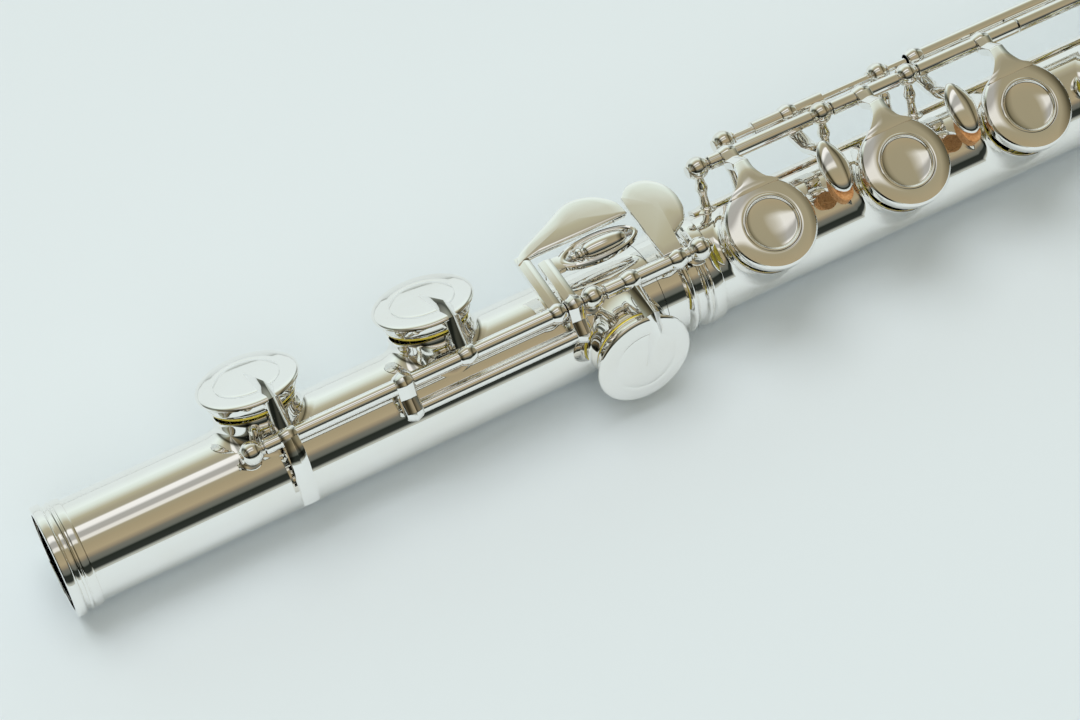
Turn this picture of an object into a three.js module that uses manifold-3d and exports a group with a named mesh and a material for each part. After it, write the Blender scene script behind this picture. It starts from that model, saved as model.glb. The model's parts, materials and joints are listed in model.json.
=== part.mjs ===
// A concert flute with a C foot, closed cups, an offset G and a closed G sharp.
// Millimetres. While the pieces are made, the tube's axis is X (foot end at 0, crown at the far
// end), +Z is the way the open cups face and +Y is the player's side, where the rods run.
// An angle called "around" turns about X from +Z towards +Y. At the end the whole flute is
// turned about X to the way it lies on a table, and moved so that its box stands on the origin.
import * as THREE from 'three';
import { mergeVertices } from 'three/addons/utils/BufferGeometryUtils.js';
import Module from 'manifold-3d';

const wasm = await Module();
wasm.setup();

// ---- driving dimensions ----------------------------------------------------------------
const BORE_R = 9.5;
const TUBE_R = 9.95;
const RING_R = 10.9;               // every ring that can touch the table
const CHIMNEY_TOP = 12.35;         // height of a tone hole's rim above the tube's axis
const FOOT_END = 135.4;            // mouth of the foot's receiver
const TENON_START = 123.1;
const TENON_END = 135.6;
const BODY_END = 441;
const BARREL_END = 486;
const HEAD_START = 448;
const CROWN_START = 655.5;
const EMBOUCHURE_X = 604;
const GAP = 0.2;                   // clearance between pieces that are fixed to each other
const PAD_GAP = 0.1;               // a closed pad's clearance over its rim
const STEEL_R = 0.8;
const HINGE_BORE_R = 0.98;
const HINGE_R = 1.5;
const COLLAR_R = 2.0;
const ROUND = 24;                  // facets of the big tubes
const REST_TILT = THREE.MathUtils.degToRad(25);

// ---- geometry helpers ------------------------------------------------------------------
function solid(geometry) {
  const bare = geometry.index ? geometry.clone() : geometry;
  bare.deleteAttribute('normal');
  bare.deleteAttribute('uv');
  const merged = mergeVertices(bare, 1e-4);
  const mesh = new wasm.Mesh({
    numProp: 3,
    vertProperties: Float32Array.from(merged.attributes.position.array),
    triVerts: Uint32Array.from(merged.index.array),
  });
  return new wasm.Manifold(mesh);
}

function join(pieces) {
  return pieces.reduce((whole, piece) => whole.add(piece));
}

// A turned shape about Z from [radius, height] points that start and end on the axis or close.
function turned(profile, facets) {
  const points = profile.map(([radius, height]) => new THREE.Vector2(radius, height));
  const onAxis = profile[0][0] === 0;
  if (!onAxis) {
    points.push(points[0].clone());
  }
  const geometry = new THREE.LatheGeometry(points, facets);
  geometry.rotateX(Math.PI / 2);
  const shape = solid(geometry);
  return shape.volume() < 0 ? solid(flipped(geometry)) : shape;
}

function flipped(geometry) {
  const copy = geometry.clone();
  const index = copy.index.array;
  for (let i = 0; i < index.length; i += 3) {
    [index[i], index[i + 1]] = [index[i + 1], index[i]];
  }
  return copy;
}

function shaped(piece, matrix) {
  return piece.transform(matrix.elements);
}

function moved(piece, x, y, z) {
  return shaped(piece, new THREE.Matrix4().makeTranslation(x, y, z));
}

// Turns a piece about the tube's axis, from +Z towards +Y.
function around(piece, degrees) {
  return shaped(piece, new THREE.Matrix4().makeRotationX(THREE.MathUtils.degToRad(-degrees)));
}

function pointAround(radius, degrees) {
  const angle = THREE.MathUtils.degToRad(degrees);
  return { y: radius * Math.sin(angle), z: radius * Math.cos(angle) };
}

// Turns a piece about a line parallel to X.
function swung(piece, axis, degrees) {
  const there = new THREE.Matrix4().makeTranslation(0, axis.y, axis.z);
  const turn = new THREE.Matrix4().makeRotationX(THREE.MathUtils.degToRad(degrees));
  const back = new THREE.Matrix4().makeTranslation(0, -axis.y, -axis.z);
  return shaped(piece, there.multiply(turn).multiply(back));
}

// A turned shape along X from [x, radius] points, with a bore when one is given.
function alongX(profile, facets, boreRadius = 0) {
  const first = profile[0][0];
  const last = profile[profile.length - 1][0];
  const points = profile.map(([x, radius]) => [radius, x]);
  if (boreRadius > 0) {
    points.push([boreRadius, last], [boreRadius, first]);
  } else {
    points.unshift([0, first]);
    points.push([0, last]);
  }
  const shape = turned(points, facets);
  return shaped(shape, new THREE.Matrix4().makeRotationY(Math.PI / 2));
}

function rod(x0, x1, radius, axis, facets = 8) {
  return moved(alongX([[x0, radius], [x1, radius]], facets), 0, axis.y, axis.z);
}

// A closed skin through rings of points, with flat fans as its ends.
function loft(rings) {
  const count = rings[0].length;
  const positions = rings.flat().flatMap((p) => [p.x, p.y, p.z]);
  const index = [];
  for (let r = 0; r < rings.length - 1; r += 1) {
    for (let i = 0; i < count; i += 1) {
      const a = r * count + i;
      const b = r * count + ((i + 1) % count);
      index.push(a, b, a + count, b, b + count, a + count);
    }
  }
  const end = (rings.length - 1) * count;
  for (let i = 1; i < count - 1; i += 1) {
    index.push(0, i + 1, i);
    index.push(end, end + i, end + i + 1);
  }
  const geometry = new THREE.BufferGeometry();
  geometry.setAttribute('position', new THREE.Float32BufferAttribute(positions, 3));
  geometry.setIndex(index);
  const shape = solid(geometry);
  return shape.volume() < 0 ? solid(flipped(geometry)) : shape;
}

// A bar through stations {x, y, z, half, thick, ridge}: half its width along X, its thickness
// down from the line through the stations, and the height of a ridge along its middle.
function bar(stations) {
  const rings = stations.map((s, i) => {
    const before = stations[Math.max(i - 1, 0)];
    const after = stations[Math.min(i + 1, stations.length - 1)];
    const along = new THREE.Vector2(after.y - before.y, after.z - before.z).normalize();
    const up = along.x < 0 ? { y: along.y, z: -along.x } : { y: -along.y, z: along.x };
    const at = (dx, lift) => new THREE.Vector3(s.x + dx, s.y + up.y * lift, s.z + up.z * lift);
    return [
      at(-s.half, -s.thick),
      at(s.half, -s.thick),
      at(s.half, 0),
      at(0, s.ridge ?? 0.02),
      at(-s.half, 0),
    ];
  });
  return loft(rings);
}

// A plate with rounded plan outline: points in plan, thick along its own normal.
function plate(outline, thickness) {
  const shape = new THREE.Shape(outline.map(([u, v]) => new THREE.Vector2(u, v)));
  return solid(new THREE.ExtrudeGeometry(shape, { depth: thickness, bevelEnabled: false }));
}

function ellipse(cx, cy, rx, ry, count) {
  return new THREE.EllipseCurve(cx, cy, rx, ry, 0, 2 * Math.PI).getPoints(count).slice(0, -1)
    .map((p) => [p.x, p.y]);
}

// ---- materials and nodes ---------------------------------------------------------------
const SILVER = { color: 0xd9d7d0, roughness: 0.12, metalness: 1.0 };
const STEEL = { color: 0xa9abad, roughness: 0.25, metalness: 1.0 };
const PAD_SKIN = { color: 0xd8b640, roughness: 0.6, metalness: 0.0 };
const CORK = { color: 0xb9783f, roughness: 0.9, metalness: 0.0 };

const flute = new THREE.Group();

function node(name, piece, look) {
  const data = piece.getMesh();
  const geometry = new THREE.BufferGeometry();
  geometry.setAttribute('position', new THREE.BufferAttribute(data.vertProperties, 3));
  geometry.setIndex(new THREE.BufferAttribute(data.triVerts, 1));
  geometry.computeVertexNormals();
  const mesh = new THREE.Mesh(geometry, new THREE.MeshStandardMaterial(look));
  mesh.name = name;
  flute.add(mesh);
}

// ---- cups and pads ---------------------------------------------------------------------
// Both stand on the closed pad's lower face, at height 0.
const PAD_SHOWS = 0.7;
const CAVITY_TOP = 2.2;

function plateauCup(radius, facets = 16) {
  const inner = radius - 0.75;
  return turned([
    [0, CAVITY_TOP],
    [inner, CAVITY_TOP],
    [inner, PAD_SHOWS],
    [radius - 0.35, PAD_SHOWS],
    [radius, 1.5],
    [radius, 3.1],
    [radius - 0.7, 3.75],
    [radius * 0.62, 3.6],
    [radius * 0.54, 3.1],
    [0, 2.9],
  ], facets);
}

// A cup with a thin domed disc that overhangs a narrower wall.
function discCup(radius, facets = 20) {
  const wall = radius - 1.3;
  return turned([
    [0, CAVITY_TOP],
    [wall - 0.6, CAVITY_TOP],
    [wall - 0.6, PAD_SHOWS],
    [wall, PAD_SHOWS],
    [wall, 2.8],
    [radius, 2.9],
    [radius - 0.05, 3.7],
    [radius * 0.64, 4.15],
    [0, 4.3],
  ], facets);
}

function pad(radius) {
  return turned([[0, 0], [radius, 0], [radius, 2.1], [0, 2.1]], 12);
}

// ---- tone holes ------------------------------------------------------------------------
const MAIN_AROUND = -6.5;
const G_AROUND = -18.5;
const FOOT_AROUND = 57;
const TRILL_AROUND = 105;
const holes = {
  c: { x: 44.4, around: FOOT_AROUND, r: 7.7 },
  csharp: { x: 80.2, around: FOOT_AROUND, r: 7.7 },
  dsharp: { x: 113.9, around: -55.5, r: 7.7 },
  d: { x: 145.9, around: MAIN_AROUND, r: 7.6 },
  e: { x: 176.1, around: MAIN_AROUND, r: 7.6 },
  f: { x: 204.5, around: MAIN_AROUND, r: 7.6 },
  fsharp: { x: 231, around: MAIN_AROUND, r: 7.3 },
  g_lower: { x: 256, around: G_AROUND, r: 7.1 },
  g_upper: { x: 280, around: G_AROUND, r: 7.1 },
  gsharp: { x: 256, around: 104, r: 7.1 },
  a: { x: 302.5, around: MAIN_AROUND, r: 7.0 },
  bflat: { x: 323.5, around: MAIN_AROUND, r: 7.0 },
  thumb_b: { x: 343, around: 124.5, r: 6.6 },
  csharp_vent: { x: 370, around: MAIN_AROUND, r: 3.4 },
  d_trill: { x: 388, around: TRILL_AROUND, r: 3.9 },
  dsharp_trill: { x: 405, around: TRILL_AROUND, r: 3.9 },
};

function chimney(hole) {
  const shape = turned([
    [0, 4],
    [hole.r + 0.9, 4],
    [hole.r + 0.9, 9.0],
    [hole.r + 0.45, CHIMNEY_TOP],
    [0, CHIMNEY_TOP],
  ], hole.r > 5 ? 16 : 12);
  return around(moved(shape, hole.x, 0, 0), hole.around);
}

function holeCut(hole) {
  const shape = turned([[0, 2], [hole.r, 2], [hole.r, CHIMNEY_TOP + 2], [0, CHIMNEY_TOP + 2]],
    hole.r > 5 ? 16 : 12);
  return around(moved(shape, hole.x, 0, 0), hole.around);
}

function drilledTube(outerProfile, names) {
  const first = outerProfile[0][0];
  const last = outerProfile[outerProfile.length - 1][0];
  let tube = alongX(outerProfile, ROUND);
  tube = join([tube, ...names.map((name) => chimney(holes[name]))]);
  tube = tube.subtract(alongX([[first - 1, BORE_R], [last + 1, BORE_R]], ROUND));
  return names.reduce((left, name) => left.subtract(holeCut(holes[name])), tube);
}

// ---- rod lines -------------------------------------------------------------------------
const footRod = { y: 0.72, z: 14.18 };
const mainRod = { y: 15.7, z: 11.0 };
const gRod = { y: 12.9, z: 14.2 };
const trillRod = { y: 18.9, z: 8.1 };
const gsharpRod = pointAround(17.2, 143);
const thumbRod = pointAround(17.2, 84.5);
const POST_R = 2.3;

// A ball-topped turned post from a foot at the given angle to its rod.
function post(x, axis, footAround, ball = POST_R, seat = TUBE_R + GAP) {
  const foot = pointAround(seat + 0.3, footAround);
  const reach = Math.hypot(axis.y - foot.y, axis.z - foot.z);
  const pillar = turned([
    [0, 0],
    [1.9, 0],
    [1.0, 1.2],
    [1.2, reach * 0.6],
    [0.95, reach],
    [0, reach],
  ], 8);
  const head = turned([
    [0, -ball],
    [ball * 0.71, -ball * 0.71],
    [ball, 0],
    [ball * 0.71, ball * 0.71],
    [0, ball],
  ], 10);
  const lean = Math.atan2(axis.y - foot.y, axis.z - foot.z);
  const standing = shaped(pillar, new THREE.Matrix4().makeRotationX(-lean));
  return join([
    moved(standing, x, foot.y, foot.z),
    moved(head, x, axis.y, axis.z),
  ]).subtract(rod(x - 5, x + 5, HINGE_BORE_R, axis))
    .subtract(alongX([[x - 5, seat], [x + 5, seat]], ROUND));
}

// A thin curved strip that lies along the tube.
function rib(x0, x1, middle, halfAngle) {
  const inner = TUBE_R + GAP;
  const outer = inner + 0.6;
  const steps = 4;
  const angles = Array.from({ length: steps + 1 },
    (unused, i) => middle - halfAngle + (2 * halfAngle * i) / steps);
  const section = [
    ...angles.map((angle) => pointAround(inner, angle)),
    ...angles.reverse().map((angle) => pointAround(outer, angle)),
  ];
  const shape = new THREE.Shape(section.map((p) => new THREE.Vector2(p.y, p.z)));
  const strip = solid(new THREE.ExtrudeGeometry(shape, { depth: x1 - x0, bevelEnabled: false }));
  const basis = new THREE.Matrix4().makeBasis(
    new THREE.Vector3(0, 1, 0),
    new THREE.Vector3(0, 0, 1),
    new THREE.Vector3(1, 0, 0),
  );
  return moved(shaped(strip, basis), x0, 0, 0);
}

// ---- keys ------------------------------------------------------------------------------
// A cup key is made closed, in its own tone hole's frame, where the hole faces +Z.
function inHoleFrame(axis, hole) {
  const angle = THREE.MathUtils.degToRad(hole.around);
  return {
    y: axis.y * Math.cos(angle) - axis.z * Math.sin(angle),
    z: axis.y * Math.sin(angle) + axis.z * Math.cos(angle),
  };
}

const PAD_BASE = CHIMNEY_TOP + PAD_GAP;

// The arm of a main cup: it leaves its collar narrow and flares into the cup's edge.
function flaredArm(collarX, cupX, cupR, pivot) {
  const top = PAD_BASE + 3.5;
  const side = Math.sign(pivot.y);
  const edge = side * cupR;
  const middle = (pivot.y + edge) / 2;
  return bar([
    { x: collarX, y: pivot.y, z: pivot.z + COLLAR_R, half: 1.7, thick: 2.0 },
    { x: collarX, y: pivot.y - side * 1.6, z: pivot.z + COLLAR_R + 0.2, half: 1.6, thick: 1.9 },
    { x: collarX, y: middle + side * 0.6, z: (pivot.z + top) / 2 + 1.5, half: 1.5, thick: 1.5 },
    { x: cupX, y: edge, z: top, half: 3.2, thick: 1.1 },
    { x: cupX, y: edge - side * 2.2, z: top + 0.15, half: 5.4, thick: 0.9 },
  ]);
}

// The arm of a disc cup: a ridged bar that runs to a point just past the cup's middle.
function pointedArm(collarX, cupX, cupR, pivot, top, past = 1.2) {
  const side = Math.sign(pivot.y);
  return bar([
    { x: collarX, y: pivot.y, z: pivot.z + 1.3, half: 1.3, thick: 2.2, ridge: 0.9 },
    {
      x: collarX,
      y: pivot.y - side * 2.4,
      z: Math.max(pivot.z + 1.4, top - 1.0),
      half: 1.5,
      thick: 1.8,
      ridge: 1.2,
    },
    { x: collarX, y: side * cupR * 0.66, z: top + 0.2, half: 1.35, thick: 1.0, ridge: 0.9 },
    { x: cupX, y: -side * past, z: top + 0.1, half: 0.12, thick: 0.7, ridge: 0.12 },
  ]);
}

// Keys are named for the note they close or open; cups that share a key share its hinge.
function cupPiece(key, hole, collarX) {
  const pivot = inHoleFrame(key.axis, hole);
  const disc = key.cup === discCup;
  const arm = key.arm === 'flared'
    ? flaredArm(collarX, hole.x, key.cupR, pivot)
    : pointedArm(collarX, hole.x, key.cupR, pivot, PAD_BASE + (disc ? 4.2 : 3.5));
  const closed = around(join([moved(key.cup(key.cupR), hole.x, 0, PAD_BASE), arm]), hole.around);
  return swung(closed, key.axis, -Math.sign(pivot.y) * (key.open ?? 0));
}

function padPiece(key, hole) {
  const pivot = inHoleFrame(key.axis, hole);
  const radius = key.cup === discCup ? key.cupR - 2.1 : key.cupR - 0.95;
  const closed = around(moved(pad(radius), hole.x, 0, PAD_BASE), hole.around);
  return swung(closed, key.axis, -Math.sign(pivot.y) * (key.open ?? 0));
}

const COLLAR_HALF = 1.7;

function hingeParts(key, collars) {
  const hinge = key.tubes.map(([x0, x1]) => rod(x0, x1, HINGE_R, key.axis));
  const rings = collars.map(
    (x) => rod(x - COLLAR_HALF, x + COLLAR_HALF, COLLAR_R, key.axis),
  );
  return [...hinge, ...rings];
}

function bored(piece, key) {
  const ends = key.tubes.flat();
  return piece.subtract(rod(Math.min(...ends) - 4, Math.max(...ends) + 4, HINGE_BORE_R, key.axis));
}

function addKey(name, key) {
  const cups = key.holes.map((holeName, i) => cupPiece(key, holes[holeName], key.collars[i]));
  const whole = join([...cups, ...hingeParts(key, key.collars), ...(key.extras ?? [])]);
  node(`${name}_key`, key.solidHinge ? whole : bored(whole, key), SILVER);
  key.holes.forEach((holeName) => {
    node(`${holeName}_pad`, padPiece(key, holes[holeName]), PAD_SKIN);
  });
}

// ---- foot joint ------------------------------------------------------------------------
const FOOT_TUBE_END = 122.9;
const RECEIVER_START = 123.0;
const TENON_R = 9.68;
const RECEIVER_BORE_R = 9.77;
const FOOT_OPEN = 8;

function footTube() {
  return drilledTube([[1.0, TUBE_R], [FOOT_TUBE_END, TUBE_R]], ['c', 'csharp', 'dsharp']);
}

function footEndRing() {
  const profile = [
    [BORE_R, 0],
    [RING_R - 0.3, 0],
    [RING_R, 0.4],
    [RING_R, 1.7],
    [RING_R - 0.7, 2.4],
    [RING_R - 0.4, 3.3],
    [RING_R - 0.4, 5.5],
    [TUBE_R + 0.08, 5.5],
    [TUBE_R + 0.08, 0.9],
    [BORE_R, 0.9],
  ];
  const ring = turned(profile, ROUND);
  return shaped(ring, new THREE.Matrix4().makeRotationY(Math.PI / 2));
}

function footReceiver() {
  return alongX([
    [RECEIVER_START, 9.99],
    [127.5, 9.99],
    [128.1, RING_R],
    [128.9, RING_R],
    [129.4, 10.3],
    [131.2, 10.3],
    [132.0, RING_R],
    [FOOT_END - 0.3, RING_R],
    [FOOT_END, RING_R - 0.4],
  ], ROUND, RECEIVER_BORE_R);
}

// The little finger's touches lie in one plane that slopes down from the rod to the player's
// side. In that plane's frame a point is x along the tube, y away from the rod, z off the plane.
const TOUCH_SLOPE = 25.5;

function onSlope(piece) {
  const slope = new THREE.Matrix4().makeRotationX(THREE.MathUtils.degToRad(-TOUCH_SLOPE));
  return moved(shaped(piece, slope), 0, footRod.y, footRod.z);
}

const TOUCH_TOP = 1.9;
const TOUCH_THICK = 1.3;

function lever(x, reach, half = 1.3) {
  return bar([
    { x, y: 0, z: TOUCH_TOP, half, thick: 1.7 },
    { x, y: reach, z: TOUCH_TOP, half, thick: 1.7 },
  ]);
}

function touchPlate(shape) {
  const outline = solid(new THREE.ExtrudeGeometry(shape, {
    depth: TOUCH_THICK,
    bevelEnabled: false,
    curveSegments: 3,
  }));
  return moved(outline, 0, 0, TOUCH_TOP - TOUCH_THICK);
}

const ROLLER_AWAY = 9.6;
const ROLLER_R = 1.95;
const ROLLER_START = 109.4;
const ROLLER_END = 121.3;
const CRADLE_Z = 0.6;

// An oval frame that holds the roller, on a neck from the low C lever.
function rollerCradle() {
  const outline = new THREE.Shape(
    ellipse(115.2, ROLLER_AWAY, 8.6, 3.3, 16).map(([u, v]) => new THREE.Vector2(u, v)),
  );
  const opening = ellipse(115.6, ROLLER_AWAY, 7.0, 2.35, 16);
  outline.holes.push(new THREE.Path(opening.map(([u, v]) => new THREE.Vector2(u, v))));
  const frame = solid(new THREE.ExtrudeGeometry(outline, { depth: 1.5, bevelEnabled: false }));
  return join([
    moved(frame, 0, 0, CRADLE_Z - 0.75),
    moved(solid(new THREE.BoxGeometry(4.4, 3.2, 1.5)), 105.6, ROLLER_AWAY, CRADLE_Z),
    lever(104.6, ROLLER_AWAY + 1.6),
  ]).subtract(rod(106.8, 124, 0.62, { y: ROLLER_AWAY, z: CRADLE_Z }, 10));
}

function link(x, half, from, fromR, to, toR) {
  const heading = Math.atan2(to.z - from.z, to.y - from.y);
  const shape = new THREE.Shape();
  shape.absarc(from.y, from.z, fromR, heading + Math.PI / 2, heading + 1.5 * Math.PI, false);
  shape.absarc(to.y, to.z, toR, heading - Math.PI / 2, heading + Math.PI / 2, false);
  const piece = solid(new THREE.ExtrudeGeometry(shape, {
    depth: 2 * half,
    bevelEnabled: false,
    curveSegments: 5,
  }));
  const basis = new THREE.Matrix4().makeBasis(
    new THREE.Vector3(0, 1, 0),
    new THREE.Vector3(0, 0, 1),
    new THREE.Vector3(1, 0, 0),
  );
  return moved(shaped(piece, basis), x - half, 0, 0);
}

const bypassRod = { y: -4.2, z: 11.9 };

// The stop that hangs from the low C collar down the tube's near side.
function lowCStop() {
  return bar([
    { x: 46.0, y: 0, z: 15.9, half: 1.5, thick: 1.6, ridge: 0.5 },
    { x: 46.0, y: -5.2, z: 14.2, half: 1.7, thick: 1.4, ridge: 0.4 },
    { x: 46.0, y: -9.0, z: 9.9, half: 1.9, thick: 1.2, ridge: 0.2 },
    { x: 46.0, y: -11.2, z: 5.6, half: 1.9, thick: 1.0 },
  ]);
}

function csharpPaddle() {
  const shape = new THREE.Shape();
  shape.moveTo(99.9, 12.6);
  shape.lineTo(102.4, 13.3);
  shape.lineTo(123.9, 13.3);
  shape.splineThru([[123.2, 17.2], [119.6, 20.6], [114.6, 21.4], [108.6, 18.6], [102.4, 15.6]]
    .map(([u, v]) => new THREE.Vector2(u, v)));
  return join([lever(101.2, 14.4), touchPlate(shape)]);
}

function dsharpTouch() {
  const shape = new THREE.Shape();
  shape.moveTo(124.4, 0.6);
  shape.lineTo(128.3, 0.6);
  shape.splineThru([[128.8, 4.2], [132.9, 7.0], [134.4, 11.5], [133.6, 15.8], [130.6, 18.9],
    [127.2, 19.2]].map(([u, v]) => new THREE.Vector2(u, v)));
  shape.lineTo(124.4, 17.2);
  return touchPlate(shape);
}

node('foot_tube', footTube(), SILVER);
node('foot_end_ring', footEndRing(), SILVER);
node('foot_receiver', footReceiver(), SILVER);
const footPosts = [[38.9, TUBE_R], [108.8, TUBE_R], [131.9, RING_R]];
footPosts.forEach(([x, surface], i) => {
  node(`foot_post_${i + 1}`, post(x, footRod, 2.9, POST_R, surface + GAP), SILVER);
});
node('foot_steel', rod(37.2, 133.6, STEEL_R, footRod), STEEL);

addKey('c', {
  holes: ['c'],
  axis: footRod,
  cup: discCup,
  cupR: 9.85,
  arm: 'pointed',
  collars: [46.0],
  open: FOOT_OPEN,
  tubes: [[41.4, 70.8], [103.1, 106.3]],
  extras: [
    lowCStop(),
    link(69.3, 1.3, footRod, COLLAR_R, bypassRod, 1.7),
    link(104.6, 1.3, footRod, COLLAR_R, bypassRod, 1.7),
    rod(69.3, 104.6, 1.2, bypassRod),
    onSlope(rollerCradle()),
  ],
});
addKey('csharp', {
  holes: ['csharp'],
  axis: footRod,
  cup: discCup,
  cupR: 9.85,
  arm: 'pointed',
  collars: [82.3],
  open: FOOT_OPEN,
  tubes: [[71.0, 102.9]],
  extras: [rod(99.7, 102.7, COLLAR_R, footRod), onSlope(csharpPaddle())],
});
addKey('dsharp', {
  holes: ['dsharp'],
  axis: footRod,
  cup: discCup,
  cupR: 9.85,
  arm: 'pointed',
  collars: [116.7],
  tubes: [[111.3, 129.4]],
  extras: [rod(125.2, 128.6, COLLAR_R, footRod), onSlope(dsharpTouch())],
});
const rollerAxis = { y: ROLLER_AWAY, z: CRADLE_Z };
node('c_roller', onSlope(moved(alongX([
  [ROLLER_START, 0.9],
  [ROLLER_START + 1.0, 1.2],
  [ROLLER_START + 1.6, 1.7],
  [ROLLER_START + 3.6, ROLLER_R],
  [ROLLER_END - 3.0, ROLLER_R],
  [ROLLER_END - 0.8, 1.5],
  [ROLLER_END, 1.0],
], 12, 0.7), 0, rollerAxis.y, rollerAxis.z)), SILVER);
node('roller_axle', onSlope(rod(107.2, 123.4, 0.5, rollerAxis, 8)), STEEL);

// ---- body joint ------------------------------------------------------------------------
const MAIN_OPEN = 6.5;
const BODY_HOLES = ['d', 'e', 'f', 'fsharp', 'g_lower', 'g_upper', 'gsharp', 'a', 'bflat',
  'thumb_b', 'csharp_vent', 'd_trill', 'dsharp_trill'];
const MAIN_FOOT = 62;
const TRILL_FOOT = 71;
const THUMB_FOOT = 72;

node('body_tube', drilledTube([
  [TENON_START, TENON_R],
  [TENON_END, TENON_R],
  [TENON_END, TUBE_R],
  [BODY_END, TUBE_R],
], BODY_HOLES), SILVER);

node('barrel', alongX([
  [BODY_END - 4, 10.5],
  [BODY_END - 3.6, RING_R],
  [BODY_END - 2.4, RING_R],
  [BODY_END - 1.8, 10.5],
  [BARREL_END - 3.4, 10.5],
  [BARREL_END - 2.8, RING_R],
  [BARREL_END - 0.4, RING_R],
  [BARREL_END, RING_R - 0.4],
], ROUND, TUBE_R + 0.1), SILVER);

node('lower_rib', join([
  rib(137.2, 247.3, 66, 9),
  ...[140.2, 168, 188, 242].map((x) => post(x, mainRod, MAIN_FOOT)),
  ...[148.6, 184].map((x) => post(x, trillRod, TRILL_FOOT)),
  post(245.2, gRod, 60),
]), SILVER);
node('upper_rib', join([
  rib(266.5, 415, 66, 9),
  post(289, gRod, 60),
  ...[292.6, 379].map((x) => post(x, mainRod, MAIN_FOOT)),
  ...[394.2, 412].map((x) => post(x, trillRod, TRILL_FOOT)),
  ...[309, 358.4].map((x) => post(x, thumbRod, THUMB_FOOT, 2.0)),
]), SILVER);
node('gsharp_rib', join([
  rib(240.5, 293, 169, 7),
  ...[243.5, 290].map((x) => post(x, gsharpRod, 167, 2.0)),
]), SILVER);

node('right_hand_steel', rod(138.4, 213.9, STEEL_R, mainRod), STEEL);
node('left_hand_steel', rod(294.6, 380.8, STEEL_R, mainRod), STEEL);
node('g_steel', rod(243.4, 290.8, STEEL_R, gRod), STEEL);
node('gsharp_steel', rod(242, 291.5, STEEL_R, gsharpRod), STEEL);
node('thumb_steel', rod(307.5, 360, STEEL_R, thumbRod), STEEL);

const mainKey = { axis: mainRod, cup: plateauCup, arm: 'flared', open: MAIN_OPEN };
addKey('d', { ...mainKey, holes: ['d'], cupR: 9.05, collars: [146.8], tubes: [[142.6, 165.6]] });
addKey('e', { ...mainKey, holes: ['e'], cupR: 9.05, collars: [177.4], tubes: [[170.4, 185.6]] });
addKey('f', { ...mainKey, holes: ['f'], cupR: 9.05, collars: [205.4], tubes: [[190.4, 213.9]] });
// The F sharp key is pinned to a steel of its own that runs on past the G keys.
addKey('fsharp', {
  ...mainKey,
  holes: ['fsharp'],
  cupR: 8.75,
  collars: [231.6],
  tubes: [[214.2, 239.6], [244.4, 290.2]],
  solidHinge: true,
  extras: [rod(239, 294.2, STEEL_R, mainRod)],
});
addKey('g', {
  ...mainKey,
  axis: gRod,
  holes: ['g_lower', 'g_upper'],
  cupR: 8.55,
  collars: [256.6, 280.6],
  tubes: [[247.6, 286.6]],
});
addKey('a', { ...mainKey, holes: ['a'], cupR: 8.45, collars: [303], tubes: [[295, 312]] });
addKey('bflat', { ...mainKey, holes: ['bflat'], cupR: 8.45, collars: [324], tubes: [[312.3, 335.6]] });

// The first finger's touch looks like a cup but only works the small vent above it.
const FINGER_X = 345.6;
const fingerHole = { x: FINGER_X, around: MAIN_AROUND };
const ventKey = { ...mainKey, cupR: 5.0, tubes: [[336, 376.5]] };
addKey('csharp_vent', {
  ...ventKey,
  holes: ['csharp_vent'],
  collars: [370],
  extras: [
    cupPiece({ ...ventKey, cupR: 8.45 }, fingerHole, FINGER_X + 0.5),
    rod(FINGER_X - 1.2, FINGER_X + 2.2, COLLAR_R, mainRod),
  ],
});

// The lever of a trill key passes under the main rod to an oval touch between two cups.
function trillTouch(x) {
  const run = bar([
    { x, y: trillRod.y, z: trillRod.z - 0.3, half: 1.5, thick: 1.4 },
    { x, y: 14.6, z: 7.6, half: 1.5, thick: 1.3 },
    { x, y: 11.2, z: 10.2, half: 1.5, thick: 1.2 },
    { x, y: 8.2, z: 15.6, half: 1.6, thick: 1.3 },
    { x, y: 4.0, z: 16.8, half: 1.6, thick: 1.1 },
  ]);
  const dome = turned([[0, 0], [2.6, 0], [2.9, 0.5], [2.2, 1.1], [0, 1.5]], 12);
  const oval = shaped(dome, new THREE.Matrix4().makeScale(1, 1.9, 1));
  return join([run, moved(oval, x, 4.2, 16.2)]);
}

function trillCork(x) {
  return moved(solid(new THREE.BoxGeometry(3.4, 6.2, 2.5)), x, 0.2, 14.7);
}

addKey('d_trill', {
  holes: ['d_trill'],
  axis: trillRod,
  cup: plateauCup,
  cupR: 5.4,
  arm: 'pointed',
  collars: [388],
  tubes: [[190.8, 391.4]],
  extras: [rod(190.8, 194.2, COLLAR_R, trillRod), trillTouch(192.3)],
});
addKey('dsharp_trill', {
  holes: ['dsharp_trill'],
  axis: trillRod,
  cup: plateauCup,
  cupR: 5.4,
  arm: 'pointed',
  collars: [405],
  tubes: [[155, 171], [397, 409.4]],
  solidHinge: true,
  extras: [
    rod(147, 413.6, STEEL_R, trillRod),
    rod(161.3, 164.7, COLLAR_R, trillRod),
    trillTouch(163),
  ],
});
node('d_trill_cork', trillCork(192.3), CORK);
node('dsharp_trill_cork', trillCork(163), CORK);

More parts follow.
